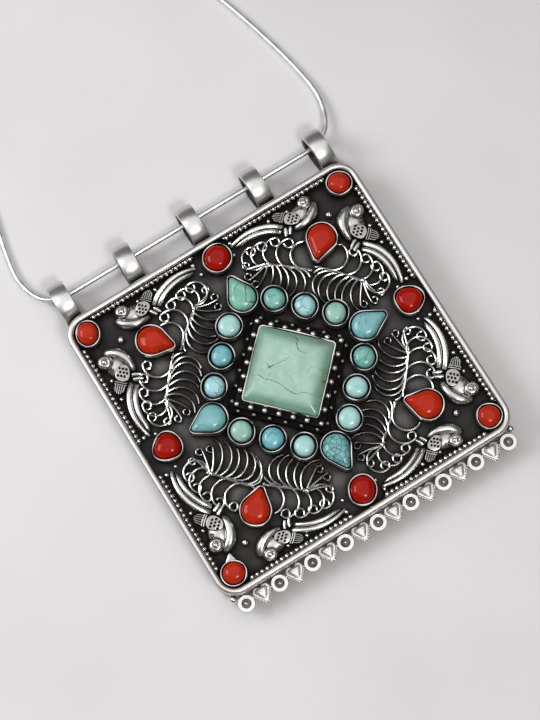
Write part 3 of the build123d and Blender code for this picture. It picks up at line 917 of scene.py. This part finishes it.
# Dark veins on the stone, each as points from one side to the other and a width
CENTRE_VEINS = [
    (
        [
            (-3.3, 8.7), (-3.2, 7.7), (-2.6, 6.4), (-3.2, 5.0), (-3.3, 2.7), (-3.7, 0.9), (-4.7, -1.1),
            (-5.0, -3.1), (-4.2, -4.6), (-4.4, -7.0), (-4.6, -8.7),
        ],
        0.45,
    ),
    ([(8.6, 0.5), (7.5, 0.3), (7.1, -0.4), (6.2, -0.3), (4.9, -1.1), (4.6, -2.2), (4.5, -3.7)], 0.5),
    ([(-0.4, 4.5), (0.6, 3.2), (1.4, 2.2), (2.1, 1.1), (3.1, 0.5)], 0.36),
    ([(0.3, 5.2), (-0.2, 4.6), (-0.5, 4.2), (-1.0, 4.0)], 0.7),
    ([(-0.9, 4.9), (-0.4, 4.5), (0.1, 3.8), (0.5, 3.5)], 0.8),
    ([(-0.7, -8.6), (-0.6, -8.2), (-0.9, -8.0)], 0.7),
]
VEIN_STEPS = 6
VEIN_SHAKE = 0.06
VEIN_PROUD = 0.012
VEIN_FLANK = 0.04


def stone_height(share):
    """Height of the centre stone's face at a share of its outline."""
    for (s0, z0), (s1, z1) in zip(CENTRE_STEPS, CENTRE_STEPS[1:]):
        if share >= s1:
            return z1 + (z0 - z1) * (share - s1) / (s0 - s1)


def vein_path(points, dice):
    path = []
    for start, end in zip(points, points[1:]):
        for k in range(VEIN_STEPS):
            spot = between(start, end, k / VEIN_STEPS)
            path.append(tuple(c + dice.uniform(-VEIN_SHAKE, VEIN_SHAKE) for c in spot))
    return path


def centre_veins(side, seat, crown, dice):
    """Veins that lie on the stone's face, thinner towards their ends."""
    veins = Shape()
    for points, wide in CENTRE_VEINS:
        path = vein_path(points, dice)

        def section(i):
            swell = 0.35 + 0.65 * math.sin(math.pi * (i + 0.5) / len(path))
            half = wide / 2 * swell * dice.uniform(0.7, 1.3)
            z = seat + crown * stone_height(max(map(abs, path[i])) / side) + VEIN_PROUD
            return [(half, z - VEIN_FLANK), (0, z), (-half, z - VEIN_FLANK)]

        veins.skin(swept(path, section), QUARTER)
    veins.make("centre_stone_veins", stone_looks["matrix"], slot="green_turquoise")


def centre_stone():
    low, high = box_mm("centre_turquoise")
    side = (high.x - low.x) / 2 / math.sqrt(2)
    bezel_low, bezel_high = box_mm("centre_bezel")
    seat = bezel_high.z
    crown = high.z - seat
    outline = rounded_box(side, side, STONE_CORNER, 12, 5)
    stone = Shape()
    mound(stone, outline, [(1.0, low.z)] + raised(CENTRE_STEPS, seat, crown), QUARTER)
    # The stone's flanks get painted shade, with stains
    girdle = (seat + FLANK_SHADE_FROM * crown, seat + FLANK_SHADE_TO * crown, *FLANK_SHADE_AND_STAIN)
    pale = turquoise("turquoise_centre", *CENTRE_LOOK, girdle)
    stone.make("centre_stone", pale, ["centre_turquoise"], "green_turquoise", STONE_SHARP)
    dice = random.Random("centre")
    centre_veins(side, seat, crown, dice)
    band = Shape()
    cup(band, outline, QUARTER, CENTRE_WALL, CENTRE_GAP, bezel_low.z, seat, dice)
    band.make("centre_bezel_band", looks["bezel"], ["centre_bezel"])


CENTRE_GRANULE = 0.65


def centre_granules():
    """Two rows of granules on the steps of the base: the upper one bright, the lower one in a darker copy of
    the silver, painted shade under the upper row.
    """
    dice = random.Random("granules")
    upper, lower = Shape(), Shape()
    spots = middles("centre_granules")
    between_rows = sum(s.z for s in spots) / len(spots)
    for spot in spots:
        row = upper if spot.z > between_rows else lower
        row.ball(spot, CENTRE_GRANULE * dice.uniform(0.92, 1.04), 1.0, 16, 10)
    upper.make("centre_granules_upper", looks["granule"], ["centre_granules"])
    lower.make("centre_granules_lower", looks["shaded_granule"], ["centre_granules"])


centre_stone()
centre_granules()

# Filigree plumes, drawn for the upper half of the right side, with the wall's inner face at x = 0

SIDES = {"right": (0, inner_x), "top": (90, inner_y), "left": (180, inner_x), "bottom": (270, inner_y)}
WIRE_WIDE = 0.5
WIRE_TALL = 1.5
WIRE_CLEAR = 0.05
WIRE_SHAKE = 0.14
HALF_CLEAR = 0.4
DIAGONAL_CLEAR = 0.3
CURL_STEP = 0.16
SHORTEST_WIRE = 6
# Wires of a plume, each as the start, a point on the way and the end of its arc: those that curl at the
# tail, then those that arch over to the stones, then those that end in small curls
TAIL_WIRES = [
    ((-16.8, 16.7), (-11.6, 15.9), (-10.8, 19.4)),
    ((-15.2, 14.7), (-9.7, 13.3), (-8.5, 17.0)),
    ((-13.2, 12.6), (-7.9, 10.8), (-6.8, 14.3)),
    ((-11.6, 10.8), (-6.8, 8.3), (-5.9, 11.4)),
    ((-10.7, 9.5), (-6.6, 5.8), (-5.7, 8.2)),
]
STONE_WIRES = [
    ((-16.6, 16.2), (-19.2, 17.6), (-21.2, 16.0)),
    ((-16.1, 15.4), (-19.0, 16.7), (-21.6, 14.9)),
    ((-15.4, 14.5), (-18.4, 15.4), (-21.2, 13.2)),
    ((-14.5, 13.5), (-17.6, 13.7), (-20.0, 11.4)),
    ((-13.5, 12.4), (-16.9, 12.0), (-18.9, 9.8)),
    ((-12.6, 11.4), (-15.9, 10.6), (-17.7, 8.2)),
    ((-12.0, 10.6), (-14.7, 9.2), (-16.1, 6.6)),
]
CURLED_WIRES = [
    ((-11.5, 9.9), (-13.3, 7.6), (-14.6, 5.4)),
    ((-11.2, 9.7), (-11.9, 7.0), (-12.2, 4.6)),
    ((-10.8, 9.4), (-10.3, 7.0), (-9.6, 5.2)),
    ((-17.4, 17.2), (-18.4, 18.3), (-19.4, 18.6)),
]
# Radius and sweep, in degrees, of the curl that a wire to the stones and a curled wire end in
STONE_CURL = (3.6, 48)
SMALL_CURL = (0.75, 290)
PLUME_SPINE = ((-10.9, 9.4), (-13.4, 12.7), (-16.7, 16.6))
PLUME_HUB = (-11.2, 10.0, ground + WIRE_TALL - 0.2)
HUB_RADIUS = 0.62
HUB_FLAT = 0.7


def half_places(side):
    """Names and placing matrices of the two halves of a side."""
    turn, out = SIDES[side]
    base = turned(turn) @ at(out, 0)
    return (("a", base), ("b", base @ Matrix.Diagonal((1, -1, 1, 1))))


def is_clear(point, place, out):
    """Whether a wire may pass a point: clear of the settings, in its half, and short of the diagonal."""
    x, y = point
    if y < HALF_CLEAR or x + out < y + DIAGONAL_CLEAR:
        return False
    spot = place @ Vector((x, y, 0))
    return all(math.hypot(spot.x - tx, spot.y - ty) > r + WIRE_WIDE / 2 + WIRE_CLEAR for tx, ty, r in taken)


def curl_on(path, radius, degrees):
    """Points that carry a flat path on round a curl to the left."""
    (x0, y0), (x, y) = path[-2:]
    heading = math.atan2(y - y0, x - x0)
    sweep = math.radians(degrees)
    middle = (x - radius * math.sin(heading), y + radius * math.cos(heading))
    return bow(middle, radius, heading - math.pi / 2, sweep, max(3, int(radius * sweep / CURL_STEP)))[1:]


def bent_wire(stops, curl, degrees, dice, place, out):
    """Path along an arc through three stops and on round a curl, as far as it stays clear."""
    moved = [tuple(c + dice.uniform(-WIRE_SHAKE, WIRE_SHAKE) for c in stop) for stop in stops]
    path = arc_through(*moved)
    path += curl_on(path, curl, degrees)
    for count, point in enumerate(path):
        if not is_clear(point, place, out):
            return path[:count]
    return path


def plume(side, half, place):
    name = f"plume_{side}_{half}"
    dice = random.Random(name)
    out = SIDES[side][1]
    paths = [arc_through(*PLUME_SPINE)]
    for stops in TAIL_WIRES:
        paths.append(bent_wire(stops, dice.uniform(0.9, 1.05), dice.uniform(280, 335), dice, place, out))
    for wires, curl in ((STONE_WIRES, STONE_CURL), (CURLED_WIRES, SMALL_CURL)):
        paths += [bent_wire(stops, *curl, dice, place, out) for stops in wires]
    shape = Shape()
    for path in paths:
        wide = WIRE_WIDE * dice.uniform(0.92, 1.1)
        top = ground + WIRE_TALL + dice.uniform(-0.15, 0.1)
        if len(path) > SHORTEST_WIRE:
            strip(shape, path, place, wide, top)
    shape.ball(place @ Vector(PLUME_HUB), HUB_RADIUS, HUB_FLAT, 12, 6)
    shape.make(f"filigree_{side}_{half}", looks["filigree"], [name])


# Birds in facing pairs: breast, neck, head with an eye, dotted wing with a ribbed end, collar and tail

BIRD_TALL = 2.2
bird_top = ground + BIRD_TALL
BIRD_SQUEEZE = {"right": 1.0, "left": 1.0, "top": 0.86, "bottom": 0.86}
BODY_AT = (-5.6, 22.6)
BODY_RADIUS = 3.05
BODY_TALL = 1.75
BODY_FOOT = 0.2
BREAST_OUTER = ((-4.9, 27.5), (-9.25, 24.7), (-8.8, 19.3))
BREAST_INNER = ((-4.0, 25.9), (-6.5, 23.6), (-7.5, 20.0))
BREAST_PROUD = 0.2
BREAST_DOME = 0.6
HEAD_AT = (-3.75, 24.6)
HEAD_RADIUS = 1.98
# Steps of the head from the bird's top: the cheek, the ring round the eye, then the eye
HEAD_STEPS = [
    (1.0, -BIRD_TALL), (1.0, -1.1), (0.97, -0.7), (0.9, -0.3), (0.79, 0.05), (0.66, 0.28), (0.55, 0.38),
    (0.46, 0.4), (0.4, 0.3), (0.34, 0.22), (0.28, 0.3), (0.2, 0.44), (0.1, 0.5), (0, 0.52),
]
NECK = [(-4.3, 22.9), (-4.2, 22.3), (-4.0, 21.7)]
NECK_WIDE, NECK_DOWN, NECK_TAPER = 1.1, 0.2, 0.35
COLLAR_BARS = [((-9.3, 16.9), (-8.3, 17.4), (-7.3, 17.8)), ((-9.4, 18.0), (-8.5, 18.5), (-7.6, 18.9))]
COLLAR_WIDE, COLLAR_PROUD, COLLAR_TAPER = 0.85, 0.2, 0.8
TAIL_DOME = 0.2
# Edges of the two tail bars, from the one at the wall inwards
TAIL_EDGES = [
    ((-6.1, 18.0), (-2.55, 11.9), (-3.5, 4.6)),
    ((-6.85, 17.1), (-3.8, 11.6), (-4.15, 5.0)),
    ((-7.0, 16.9), (-4.0, 11.5), (-4.35, 5.6)),
    ((-7.8, 16.2), (-5.2, 11.4), (-5.0, 6.8)),
]
WING_AT = (-5.95, 20.2)
WING_TURN = -47
WING_RADIUS = 1.85
WING_WAVES = [(2, 0.1, 0), (3, 0.05, 180)]
WING_STEPS = 24
WING_DOME = 0.2
WING_LINES = (2.1, 2.6)
LINE_HALF = 1.4
LINE_WIDE = 0.4
RIB_PITCH = 0.52
RIB_WIDE = 0.36
RIB_FROM, RIB_TO = 2.8, 4.9
PIT_RADIUS = 0.3
PIT_DEPTH = 0.5
PITS = [(0.86 * i - 0.2, 0.8 * j + 0.4 * (i % 2) - 0.2) for i in (-1, 0, 1) for j in (-1, 0, 1)]


def wing(shape, place):
    """Shield with rows of pits."""
    outline = blob(WING_RADIUS, WING_WAVES, 64)
    rings = [lift(outline, ground), lift(outline, bird_top - WING_DOME)]
    for k in range(1, WING_STEPS):
        ring = []
        for x, y in shrink(outline, 1 - k / (WING_STEPS + 1)):
            deep = max(0.0, 1 - min((x - px) ** 2 + (y - py) ** 2 for px, py in PITS) / PIT_RADIUS**2)
            ring.append((x, y, bird_top + WING_DOME * (k / WING_STEPS) ** 0.5 - PIT_DEPTH * deep))
        rings.append(ring)
    rings.append([(0, 0, bird_top + WING_DOME)])
    shape.skin(rings, place)


def wing_end(shape, place):
    """Double line and ribs at the end of a wing."""
    for x in WING_LINES:
        line = [(x, -LINE_HALF), (x + 0.1, -0.45), (x + 0.1, 0.45), (x, LINE_HALF)]
        ridge(shape, line, place, LINE_WIDE, BIRD_TALL)
    for k in range(-2, 3):
        y = RIB_PITCH * k
        rib = [(RIB_FROM, y), (RIB_FROM + 1.0, y * 0.95), (RIB_TO - 0.14 * k**2, y * 0.75)]
        ridge(shape, rib, place, RIB_WIDE, BIRD_TALL - 0.1)


def bird_body(name, place):
    body = Shape()
    plump = cabochon(ground, ground + BODY_FOOT, ground + BODY_TALL, edge=1.0)
    mound(body, blob(BODY_RADIUS, [(2, 0.12, 70)], 40), plump, place @ at(*BODY_AT))
    breast = [arc_through(*stops, 32) for stops in (BREAST_OUTER, BREAST_INNER)]
    crescent(body, *breast, place, bird_top + BREAST_PROUD, BREAST_DOME)
    mound(body, blob(HEAD_RADIUS, [(2, 0.03, 40)], 40), raised(HEAD_STEPS, bird_top), place @ at(*HEAD_AT))
    ridge(body, NECK, place, NECK_WIDE, BIRD_TALL - NECK_DOWN, NECK_TAPER)
    body.make(f"relief_{name}", looks["relief"], [name])


def bird_feathers(name, place):
    feathers = Shape()
    for bar in COLLAR_BARS:
        ridge(feathers, bar, place, COLLAR_WIDE, BIRD_TALL + COLLAR_PROUD, COLLAR_TAPER)
    edges = [arc_through(*stops, 32) for stops in TAIL_EDGES]
    for near, far in (edges[:2], edges[2:]):
        crescent(feathers, near, far, place, bird_top, TAIL_DOME)
    feathers.make(f"feathers_{name}", looks["feather"], [name])


def bird(side, half, place):
    name = f"bird_{side}_{half}"
    place = place @ Matrix.Diagonal((BIRD_SQUEEZE[side], 1, 1, 1))
    bird_body(name, place)
    shield = Shape()
    wing_place = place @ at(*WING_AT) @ turned(WING_TURN)
    wing(shield, wing_place)
    wing_end(shield, wing_place)
    shield.make(f"wing_{name}", looks["wing"], [name])
    bird_feathers(name, place)


for side in SIDES:
    for half, place in half_places(side):
        plume(side, half, place)
        bird(side, half, place)

# Loose granules soldered beside the birds and the corals at the middle of the sides

SIDE_GRANULES = [(-2.9, 20.2, 0.5), (-2.6, 15.4, 0.55), (-2.4, 5.0, 0.6), (-5.2, 4.4, 0.5)]
CORNER_GRANULE = 0.85
CORNER_GRANULE_UP = Vector((0, 0, 0.2))


def granules():
    shape = Shape()
    for spot in middles("corner_granules"):
        shape.ball(spot + CORNER_GRANULE_UP, CORNER_GRANULE, 1.0, 16, 10)
    for side in SIDES:
        for _, place in half_places(side):
            for x, y, r in SIDE_GRANULES:
                shape.ball(place @ Vector((x, y, ground + 0.75 * r + 0.6)), r, 1.0, 10, 7)
    shape.make("loose_granules", looks["feather"], ["corner_granules"])


granules()

# Bails: flat bands bent to a loop

BAIL_THICK = 0.95
BAIL_DOME = 0.22
BAIL_STEPS = 48
BAIL_LEAN = 2
BAIL_SHARP = 30


def bail_section(half):
    """Points of (place across the band, height above its inner face), round the band's section."""
    edge = BAIL_THICK - BAIL_DOME
    inner = [(half * 0.5, 0.0), (half - 0.12, 0.04), (half, 0.2)]
    outer = [(half, edge - 0.25), (half - 0.2, edge), (half * 0.5, BAIL_THICK - 0.03)]
    return mirrored(inner) + inner + outer + [(0, BAIL_THICK)] + mirrored(outer)


def bail(node):
    dice = random.Random(node)
    low, high = box_mm(node)
    size = (high - low) / 2
    rings = []
    for k in range(BAIL_STEPS + 1):
        a = 2 * math.pi * (k % BAIL_STEPS) / BAIL_STEPS
        ring = []
        for x, out in bail_section(size.x):
            inwards = out - BAIL_THICK
            ring.append((x, (size.y + inwards) * math.cos(a), (size.z + inwards) * math.sin(a)))
        rings.append(ring)
    shape = Shape()
    place = Matrix.Translation((low + high) / 2) @ turned(dice.uniform(-BAIL_LEAN, BAIL_LEAN))
    shape.skin(rings, place, caps=False)
    shape.make(f"band_{node}", looks["bail"], [node], sharp=BAIL_SHARP)


for i in range(5):
    bail(f"bail_{i + 1}")

# Fringe of rings and hearts

RING_STEPS = [
    (1.0, 0.0), (1.0, 0.6), (0.97, 0.9), (0.92, 1.0), (0.57, 1.0), (0.51, 0.85), (0.49, 0.5), (0.48, 0.22),
    (0.3, 0.2), (0, 0.2),
]
DOME_RADIUS = 0.66
DOME_FLAT = 0.9
DOME_DOWN = Vector((0, 0, -0.1))
HEART_WIDER = 1.1
HEART_SHORTER = 0.95
HEART_LOBE = 2.3
LOBE_STEPS = 14
HEART_MIDDLE = (0, -1.75)
PLATE_STEPS = [(1.0, 0), (1.0, 0.55), (0.97, 0.68), (0.9, 0.75), (0.5, 0.75), (0, 0.75)]
FACET_STEPS = [(1.0, 0.5), (1.0, 0.78), (0.95, 0.83), (0.6, 1.03), (0.5, 1.07), (0.3, 1.09), (0, 1.1)]
GRAIN_RADIUS = 0.4
GRAINS_PER_FLANK = 6
GRAINS_FROM = 1.6
GRAINS_UP = 0.55
END_BEAD_WIDER = 1.2


def fringe_rings():
    rings, domes = Shape(), Shape()
    for low, high in solids_mm("fringe_rings"):
        middle = (low + high) / 2
        profile = raised(RING_STEPS, low.z, high.z - low.z)
        mound(rings, circle((high.x - low.x) / 2), profile, at(middle.x, middle.y))
    dice = random.Random("domes")
    for spot in middles("fringe_domes"):
        domes.ball(spot + DOME_DOWN, DOME_RADIUS * dice.uniform(0.85, 1.0), DOME_FLAT, 14, 8)
    rings.make("fringe_ring_links", looks["fringe"], ["fringe_rings"])
    domes.make("fringe_ring_domes", looks["dome"], ["fringe_domes"])


def heart(width, length):
    """Heart outline against the clock, from its point at the bottom; y = 0 is the top of its lobes."""
    r = HEART_LOBE / 2
    x0 = width / 2 - r
    flank = length - r
    low = math.atan2(flank, x0) - math.asin(r / math.hypot(flank, x0)) - math.pi / 2
    high = math.pi - math.acos(min(1, x0 / r))
    lobe = bow((x0, -r), r, low, high - low, LOBE_STEPS)
    tip, beside = (0, -length + 0.1), (0.55, -length + 0.35)
    mid = ((lobe[0][0] + beside[0]) / 2 + 0.22, (lobe[0][1] + beside[1]) / 2 - 0.15)
    half = [beside, mid] + lobe
    return [tip] + half + mirrored(half)


def heart_grains(shape, place, width, length, level):
    """Granules along both flanks of a heart."""
    for hand in (1, -1):
        for k in range(GRAINS_PER_FLANK):
            t = k / (GRAINS_PER_FLANK - 0.5)
            x = hand * (width / 2 - 0.05) * (1 - t)
            y = -GRAINS_FROM - (length - GRAINS_FROM) * t**1.1
            shape.ball(place @ Vector((x + hand * 0.1, y - 0.05, level)), GRAIN_RADIUS, 1.0, 10, 7)


def fringe_hearts():
    hearts, grains = Shape(), Shape()
    for low, high in solids_mm("fringe_hearts"):
        width, length = (high.x - low.x) * HEART_WIDER, (high.y - low.y) * HEART_SHORTER
        place = at((low.x + high.x) / 2, high.y)
        facet = rounded_triangle(width / 2 - 0.15, -0.48, -length + 0.3, 0.36)
        for outline, steps in ((heart(width, length), PLATE_STEPS), (facet, FACET_STEPS)):
            mound(hearts, outline, raised(steps, low.z), place, HEART_MIDDLE)
        heart_grains(grains, place, width, length, low.z + GRAINS_UP)
    hearts.make("fringe_heart_plates", looks["fringe"], ["fringe_hearts"])
    grains.make("fringe_granules", looks["fringe"], ["heart_granules"])


def fringe_ends():
    beads = Shape()
    for low, high in solids_mm("fringe_end_beads"):
        beads.ball((low + high) / 2, (high.x - low.x) / 2 * END_BEAD_WIDER, 1.0, 18, 11)
    beads.make("fringe_end_granules", looks["end_bead"], ["fringe_end_beads"])


fringe_rings()
fringe_hearts()
fringe_ends()

# Pointed leaf of the bezel at the lower left corner coral

LEAF_TURN = 162
LEAF_MIDDLE = (0, -3.3)
# Steps of the leaf below the top of its bezel
LEAF_STEPS = [(1.0, -1.3), (0.9, -1.1), (0.5, -1.0), (0, -0.95)]


def corner_leaf():
    spot = min(middles("corner_corals"), key=lambda s: s.x + s.y)
    outline = rounded_triangle(1.7, -2.2, -5.0, 0.2)
    profile = [(1.0, ground)] + raised(LEAF_STEPS, top_of("corner_coral_bezels"))
    shape = Shape()
    mound(shape, outline, profile, at(spot.x, spot.y) @ turned(LEAF_TURN), LEAF_MIDDLE)
    shape.make("corner_bezel_leaf", looks["relief"])


corner_leaf()

# Snake chain: a straight run through the bails, and on each side a free run that ends in a coil

CHAIN_WIDE = 1.3
CHAIN_Y = 44.18
CHAIN_Z = 2.97
STRAND_X = 31.5
LEAVE_X = 38.1
REST_Z = 0.95
# Free runs: the hand that the coil turns to, 1 for the left, the points on the way to it, the length in
# metres, and the fitting at the end
FREE_RUNS = {
    "left": (
        1,
        [(-41.8, 52.6, 1.3), (-40.6, 61.0, REST_Z), (-38.4, 70.5, REST_Z), (-36.6, 79.5, REST_Z)],
        0.169,
        "chain_hook",
    ),
    "right": (
        -1,
        [
            (42.8, 53.4, 1.4), (41.7, 64.0, REST_Z), (38.9, 76.2, REST_Z), (35.6, 87.6, REST_Z),
            (31.9, 98.2, REST_Z),
        ],
        0.189,
        "chain_eye",
    ),
}
COIL_RADIUS = 9.4
COIL_PITCH = 1.78
COIL_HALF_TURNS = 5
COIL_END_RADIUS = 2.7
COIL_STEP = 15
TIE_WIDE = 0.26
TIE_TURNS = 4
TIE_PITCH = TIE_WIDE * 1.1
TIE_CORNER = 0.6


def coil_points(points, hand):
    """Turns of the coil that follow a run's last points."""
    (x0, y0, _), (x, y, z) = points[-2:]
    heading = math.atan2(y - y0, x - x0)
    found = []

    def ahead(distance):
        nonlocal x, y
        x += distance * math.cos(heading)
        y += distance * math.sin(heading)
        found.append((x, y, z))

    def bend(radius, degrees):
        nonlocal x, y, heading
        ox = x - hand * radius * math.sin(heading)
        oy = y + hand * radius * math.cos(heading)
        for _ in range(degrees // COIL_STEP):
            heading += hand * math.radians(COIL_STEP)
            x = ox + hand * radius * math.sin(heading)
            y = oy - hand * radius * math.cos(heading)
            found.append((x, y, z))

    ahead(CHAIN_WIDE)
    for k in range(COIL_HALF_TURNS):
        bend(COIL_RADIUS - k * COIL_PITCH / 2, 180)
    bend(COIL_END_RADIUS, 90)
    ahead(CHAIN_WIDE)
    return found


def chain(name, points, nodes):
    curve = bpy.data.curves.new(name, "CURVE")
    curve.dimensions = "3D"
    curve.bevel_depth = CHAIN_WIDE / 2 * MM
    curve.bevel_resolution = 4
    curve.resolution_u = 6
    curve.use_fill_caps = True
    spline = curve.splines.new("NURBS")
    spline.points.add(len(points) - 1)
    for spot, point in zip(spline.points, points):
        spot.co = (*(to_frame @ Vector(point)), 1.0)
    spline.order_u = 3
    spline.use_endpoint_u = True
    spline.use_smooth = True
    curve.materials.append(looks["chain"])
    return on_case(name, curve, nodes)


def tie(name, points, hand):
    """Fine wire wound round the turns of a coil, a quarter turn after the chain comes in."""
    turns = coil_points(points, hand)
    quarter, whole = 90 // COIL_STEP, 360 // COIL_STEP
    outer, inner = Vector(turns[quarter]), Vector(turns[quarter + 2 * whole])
    across = outer - inner
    place = Matrix.Translation((outer + inner) / 2) @ Matrix.Rotation(math.atan2(across.y, across.x), 4, "Z")
    beside = CHAIN_WIDE / 2 + TIE_WIDE / 2
    loop = rounded_box(across.length / 2 + beside, beside, TIE_CORNER, 6, 5)
    shape = Shape()
    for turn in range(TIE_TURNS):
        shift = TIE_PITCH * (turn - (TIE_TURNS - 1) / 2)
        section = [(out, shift + side) for out, side in circle(TIE_WIDE / 2, 8)]
        upright = [[(x, y, z) for x, z, y in ring] for ring in swept(loop, lambda i: section, True)]
        shape.skin(upright, place, caps=False)
    return shape.make(name, looks["back"], slot="chain_silver")


def free_run(side):
    """Points of a free run up to its coil, the second where it leaves the case, and its piece."""
    hand, way = FREE_RUNS[side][:2]
    points = [(-hand * x, CHAIN_Y, CHAIN_Z) for x in (STRAND_X, LEAVE_X)] + way
    nodes = [f"chain_{side}", f"chain_{side}_coil"]
    return points, chain(f"snake_chain_{side}", points + coil_points(points, hand), nodes)


def as_cord(side, points):
    hand, _, length, fitting = FREE_RUNS[side]
    tie(f"chain_tie_{side}", points, hand)


chain("snake_chain_middle", [(x, CHAIN_Y, CHAIN_Z) for x in (-STRAND_X, 0, STRAND_X)], ["chain_middle"])
free_runs = {side: free_run(side) for side in FREE_RUNS}
for side, (points, run) in free_runs.items():
    as_cord(side, points)

# Floor, light and camera

CAMERA_AT = Vector((-37.44, -75.67, 457.32))
CAMERA_AIM = Vector((0.08, 0.18, -1.0))
CAMERA_ROLL = 0.5455
CAMERA_LENS = 100.0
CAMERA_SENSOR = 36.0
CAMERA_CLIP = 0.01
FLOOR_HALF = 3.0
SKY_COLOUR = (0.5, 0.5, 0.52, 1.0)
SKY_STRENGTH = 0.25


def camera_axes():
    """Right, up and back of the camera, rolled about its line of sight."""
    forward = CAMERA_AIM.normalized()
    level = (Vector((1, 0, 0)) - forward * forward.x).normalized()
    down = forward.cross(level)
    right = level * math.cos(CAMERA_ROLL) + down * math.sin(CAMERA_ROLL)
    return right, -forward.cross(right), -forward


def set_camera():
    data = bpy.data.cameras.new("camera")
    data.lens = CAMERA_LENS
    data.sensor_width = CAMERA_SENSOR
    data.clip_start = CAMERA_CLIP
    camera = new_object("camera", data)
    axes = Matrix(camera_axes()).transposed().to_4x4()
    camera.matrix_world = Matrix.Translation(to_frame @ CAMERA_AT) @ axes
    bpy.context.scene.camera = camera


def soft_light(name, sideways, upwards, away, size, power, colour):
    """Square soft box, placed in millimetres along the camera's axes and facing the case."""
    right, up, back = camera_axes()
    data = bpy.data.lights.new(name, "AREA")
    data.shape = "SQUARE"
    data.size = size * MM
    data.energy = power
    data.color = colour
    light = new_object(name, data)
    towards = right * sideways + up * upwards + back * away
    light.location = to_frame @ towards
    light.visible_camera = False
    light.rotation_mode = "QUATERNION"
    light.rotation_quaternion = (-towards).to_track_quat("-Z", "Y")


def floor():
    mesh = bpy.data.meshes.new("floor")
    corners = [(x * FLOOR_HALF, y * FLOOR_HALF, 0) for x, y in ((-1, -1), (1, -1), (1, 1), (-1, 1))]
    mesh.from_pydata(corners, [], [(0, 1, 2, 3)])
    material, tree, shader, where = start("floor_paper", Roughness=0.7)
    clouds = noise(tree, where, 60.0, 2.0)
    colour = ramp(tree, clouds, (0.3, tint(214, 211, 212)), (0.7, tint(222, 219, 220)))
    tree.links.new(colour, shader.inputs["Base Color"])
    mesh.materials.append(material)
    new_object("floor", mesh)


def sky():
    world = bpy.data.worlds.new("studio")
    world.use_nodes = True
    background = world.node_tree.nodes["Background"].inputs
    background["Color"].default_value = SKY_COLOUR
    background["Strength"].default_value = SKY_STRENGTH
    bpy.context.scene.world = world


floor()
set_camera()
soft_light("key", 110, -90, 480, 100, 0.8, (1.0, 0.98, 0.96))
soft_light("overhead", -30, 250, 620, 700, 1.6, (1.0, 1.0, 1.0))
soft_light("side", -430, 120, 380, 280, 2.0, (0.97, 0.98, 1.0))
sky()
bpy.context.scene.view_settings.view_transform = "Standard"
